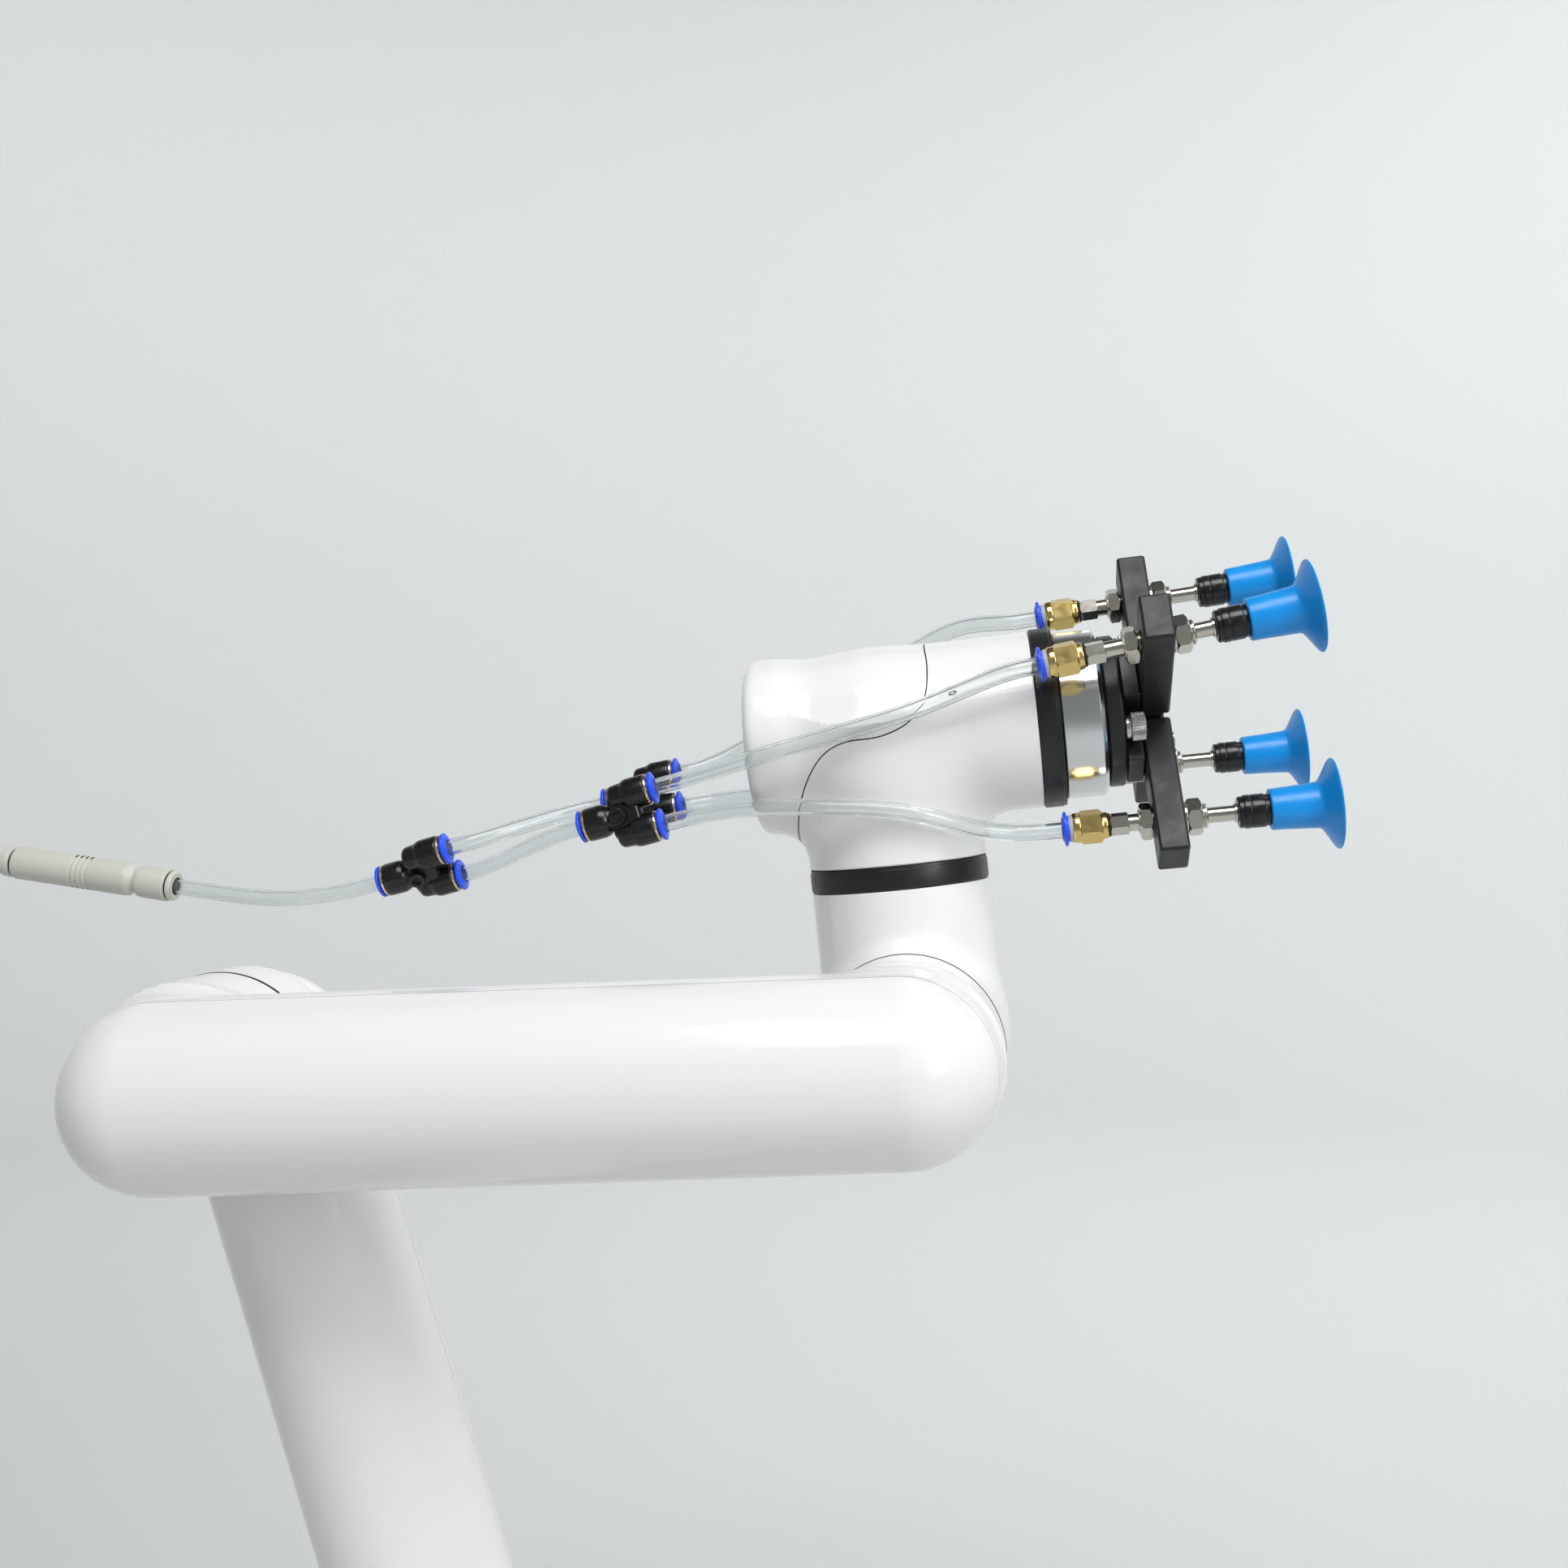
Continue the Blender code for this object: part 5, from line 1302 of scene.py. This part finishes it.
def make_splitter(name):
    place = splitter_place(name)
    half = OUTLET_SPACING / 2
    black = [turned(f"{name}_inlet", in_mm(
        (3.4, 0), (3.4, 6.15), (9.4, 6.2), (11.2, 5.6), (12.6, 4.6), (15.0, 4.4), (15.0, 0)),
        place, 0.7 * MM, 72)]
    end = SPLITTER_LENGTH / MM
    rings = []
    for i, lift in enumerate((half, -half)):
        branch = place @ Matrix.Translation((0, 0, lift))
        black.append(turned(f"{name}_branch_{i}", in_mm(
            (13.4, 0), (13.6, 3.6), (14.8, 4.7), (18.8, 5.0), (20.2, 5.75), (21.2, 5.9),
            (end - 3.4, 5.9), (end - 3.4, 0)), branch, 0.8 * MM, 72))
        rings.append(turned(f"{name}_outlet_ring_{i}", in_mm(
            (end - 3.4, 3.3), (end - 3.4, 5.75), (end - 2.5, 5.6), (end - 2.5, 3.3)), branch,
            0.12 * MM, 72, closed=True))
        release_collar(f"{name}_outlet_collar_{i}", branch, SPLITTER_LENGTH, 1, 5.95 * MM,
                       "wrist_2")
    black.append(rounded_box(f"{name}_web", *in_mm((12.6, -3.9, -8.6), (24.5, 3.9, 8.6)), place,
                             2.4 * MM, 4))
    black.append(rounded_box(f"{name}_neck", *in_mm((10.5, -3.4, -4.2), (18.0, 3.4, 4.2)), place,
                             2.0 * MM, 4))
    eye_place = place @ Matrix.Translation((15.8 * MM, 0, 0)) @ Matrix.Rotation(
        math.pi / 2, 4, "Z")
    black.append(turned(f"{name}_eye", in_mm(
        (-5.8, 1.6), (-5.8, 3.0), (-5.5, 3.2), (5.5, 3.2), (5.8, 3.0), (5.8, 1.6)), eye_place,
        0.25 * MM, 64, closed=True))
    bore = band(f"{name}_eye_shadow", -5 * MM, 5 * MM, 0, 1.58 * MM, eye_place, 0.05 * MM, 48)
    dress(bore, "black_seal_and_painted_shade", "wrist_2")
    dress(merged(f"{name}_body", black), "black_holder", "wrist_2", name)
    rings.append(turned(f"{name}_inlet_ring", in_mm((2.5, 3.3), (2.5, 5.95), (3.4, 6.1),
                                                    (3.4, 3.3)), place, 0.12 * MM, 72,
                        closed=True))
    dress(merged(f"{name}_rings", rings), "champagne_metal", "wrist_2")
    release_collar(f"{name}_inlet_collar", place, 0.0, -1, 5.95 * MM, "wrist_2")


def ejector_place():
    start, end = (Vector(p) * MM for p in EJECTOR_ENDS)
    along = end - start
    place = WRIST_2 @ Matrix.Translation(start) @ Matrix.Rotation(
        math.atan2(-along.z, along.x), 4, "Y")
    return place, along.length


def ejector_profile(length):
    """The ejector's outline in mm, from its open inlet to its release collar."""
    points = [(14, 0.0), (14, 3.6), (0.25, 3.6), (0.0, 4.0), (0.0, 5.2), (0.5, 6.0), (3.4, 6.1),
              (4.0, 5.5), (4.05, 4.9), (5.2, 4.9), (5.25, 6.1), (5.9, 6.5)]
    for i in range(SLOTS):
        x = SLOTS_START + i * SLOT_PITCH
        points += [(x, 6.5), (x + 0.15, 6.25), (x + 0.95, 6.25), (x + 1.1, 6.5)]
    points += [(49.5, 6.5), (52.0, 6.45), (53.3, 6.2), (54.4, 5.3), (55.4, 4.9), (56.2, 5.1),
               (57.3, 6.0), (58.6, 6.25)]
    for back, radius in ((3.3, 6.35), (2.8, 6.1), (2.75, 5.2), (2.0, 5.2), (1.95, 5.8),
                         (0.6, 5.7), (0, 5.1), (0, 3.3), (6, 3.2), (6, 0.0)):
        points.append((length - back, radius))
    return points


def in_shade(centre):
    """Whether a face of the ejector lies in an exhaust slot, in the inlet or in a groove; these
    faces are painted black as shade.
    """
    x = centre.x / MM
    r = math.hypot(centre.y, centre.z) / MM
    in_slot = r < 6.1 and 29 < x < 39
    in_inlet = r < 3.7 and x > 0.6
    in_groove = (x < 6 and abs(r - 4.9) < 0.15) or (x > 60 and abs(r - 5.2) < 0.1)
    return in_slot or in_inlet or in_groove


def make_ejector():
    place, length = ejector_place()
    body = turned("ejector_body", in_mm(*ejector_profile(length / MM)), place, 0.12 * MM, 96)
    for i in range(SLOTS):
        x = SLOTS_START + 0.1 + i * SLOT_PITCH
        for side in (1, -1):
            middle = side * 7.0
            cut_out(body, rounded_box("slot", *in_mm((x, -2.5, middle - 1.9),
                                                     (x + 0.9, 2.5, middle + 1.9)),
                                      place, 0.3 * MM))
    # Faces in the slots, the inlet's bore and the grooves get the black material: painted shade.
    shade = [in_shade(polygon.center) for polygon in body.data.polygons]
    dress(body, "ejector_grey", "wrist_2", "vacuum_ejector")
    body.data.materials.append(FINISHES["black_seal_and_painted_shade"][0])
    body.data.polygons.foreach_set("material_index", [int(painted_shade) for painted_shade in shade])


HOSE_ROUTES = {
    "near_top": ((30, -38.5, 11), (8, -39.5, 5), (-16, -39.2, 0.5), (-45, -36.8, -4.6)),
    "near_bottom": ((32, -26.5, -36.8), (12, -36, -29.5), (-10, -37.5, -25), (-34, -35.5, -22.4)),
    "far_top": ((32, 25, 38.5), (10, 31, 31.5), (-14, 35, 22), (-43.5, 35.8, 9.2)),
    "far_bottom": ((34, 39.5, -20), (10, 38.5, -18.5), (-14, 38, -18), (-38, 35.5, -17.5)),
}
EJECTOR_ROUTE = ((-247, -4, -36.4), (-228, -4, -38.3))
HOSE_START = (-34.6 * MM, -44 * MM)     # the straight run out of a fitting


def outlet(name, side):
    """The run of hose into a splitter's outlet, from 1 mm out to 2 mm inside the collar."""
    place = splitter_place(name)
    return [place @ Vector((SPLITTER_LENGTH + d * MM, 0, side * OUTLET_SPACING / 2))
            for d in (1, -2)]


def inlet(name):
    """The run of hose into a splitter's inlet, from 1 mm out to 2 mm inside the collar."""
    place = splitter_place(name)
    return [place @ Vector((-d * MM, 0, 0)) for d in (1, -2)]


def fair_points(controls, step):
    """The curve that a springy hose takes through the control points, straight at both ends."""
    spots = np.array([tuple(c) for c in controls])
    gaps = np.diff(spots, axis=0)
    lengths = np.linalg.norm(gaps, axis=1)
    slopes = gaps / lengths[:, None]
    matrix = np.eye(len(spots))
    wanted = np.vstack([slopes[0], np.zeros((len(spots) - 2, 3)), slopes[-1]])
    for i in range(1, len(spots) - 1):
        before, after = lengths[i - 1], lengths[i]
        matrix[i, i - 1:i + 2] = after, 2 * (before + after), before
        wanted[i] = 3 * (after * slopes[i - 1] + before * slopes[i])
    tangents = np.linalg.solve(matrix, wanted)
    result = [Vector(spots[0])]
    for i, length in enumerate(lengths):
        count = max(1, round(length / step))
        for t in np.arange(1, count + 1) / count:
            rise = t * t * (3 - 2 * t)
            result.append(Vector(spots[i] + rise * gaps[i] + length * t * (1 - t)
                                 * ((1 - t) * tangents[i] - t * tangents[i + 1])))
    return result


def tube(name, route):
    """A clear hose with its bore, swept along a smooth curve; returns it with its path."""
    points = fair_points(route, HOSE_STEP)
    frames = []
    up = Vector((0, 0, 1))
    for i, point in enumerate(points):
        ahead = (points[min(i + 1, len(points) - 1)] - points[max(i - 1, 0)]).normalized()
        across = ahead.cross(up).normalized()
        up = across.cross(ahead)
        frames.append((point, across, up))
    rings = []
    for radius in (HOSE_R, HOSE_BORE_R):
        layer = [[tuple(point + across * y + upward * z)
                  for _, y, z in ring_points(0, radius, HOSE_SIDES)]
                 for point, across, upward in frames]
        rings += layer if radius == HOSE_R else layer[::-1]
    return loft(name, rings, WORLD, closed=True), points


def hose(name, route, blended=False):
    piece, path = tube(f"{name}_tube", route)
    dress(piece, "clear_hose", None if blended else "wrist_2", name)
    if blended:
        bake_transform(piece)


def make_hoses():
    ends = {"near_top": ("splitter_near", 1), "near_bottom": ("splitter_near", -1),
            "far_top": ("splitter_far", 1), "far_bottom": ("splitter_far", -1)}
    for name, middle in HOSE_ROUTES.items():
        place = cup_place(name, rod=True)
        route = [place @ Vector((x, 0, 0)) for x in HOSE_START]
        route += [WRIST_2 @ (Vector(p) * MM) for p in middle]
        route += outlet(*ends[name])
        hose(f"hose_{name}", route, blended=True)
    hose("hose_near_splitter", inlet("splitter_near")[::-1] + outlet("splitter_main", -1))
    hose("hose_far_splitter", inlet("splitter_far")[::-1] + outlet("splitter_main", 1))
    place, length = ejector_place()
    route = [place @ Vector((length + d * MM, 0, 0)) for d in (-2, 10)]
    route += [WRIST_2 @ (Vector(p) * MM) for p in EJECTOR_ROUTE]
    hose("hose_ejector", route + inlet("splitter_main"))


def small_screws():
    """Screws sunk in the white shells: on the forearm's elbow end and by the cover's seam."""
    place = FOREARM @ Matrix.Translation((8 * MM, 6 * MM, 0)) @ Matrix.Rotation(
        -math.pi / 2, 4, "Y")
    socket_screw("elbow_screw", place @ Matrix.Translation((32.2 * MM, 0, 0)), 1.6 * MM, 0.9 * MM,
                 "forearm", "black_seal_and_painted_shade")
    for i, spot in enumerate(((26.6, -29.8, 11.5), (-25.1, -19.4, -25.5))):
        point = Vector(spot) * MM
        out = Vector((0, point.y, point.z)).normalized()
        place = (WRIST_2 @ Matrix.Translation(Vector((point.x, 0, 0)) + out * 31.1 * MM)
                 @ out.to_track_quat("X", "Z").to_matrix().to_4x4())
        socket_screw(f"cover_screw_{i}", place, 1.5 * MM, 0.9 * MM, "wrist_2", "black_seal_and_painted_shade")


def main():
    make_camera()
    for name in CUPS:
        make_sleeve(name)
        make_rod(name)
        make_fitting(name)
        make_cup(name)
    for name in SPLITTERS:
        make_splitter(name)
    make_ejector()
    make_hoses()
    make_lights()
    make_backdrop()
    make_upper_arm()
    make_forearm()
    make_wrist_1()
    make_wrist_2()
    make_gap_shadow_rings()
    make_shoulder()
    make_base_plate()
    make_base_housing()
    make_panel()
    finish_inner_nodes()
    make_wrist_rings()
    make_flange()
    make_hub()
    make_gripper()
    small_screws()


main()
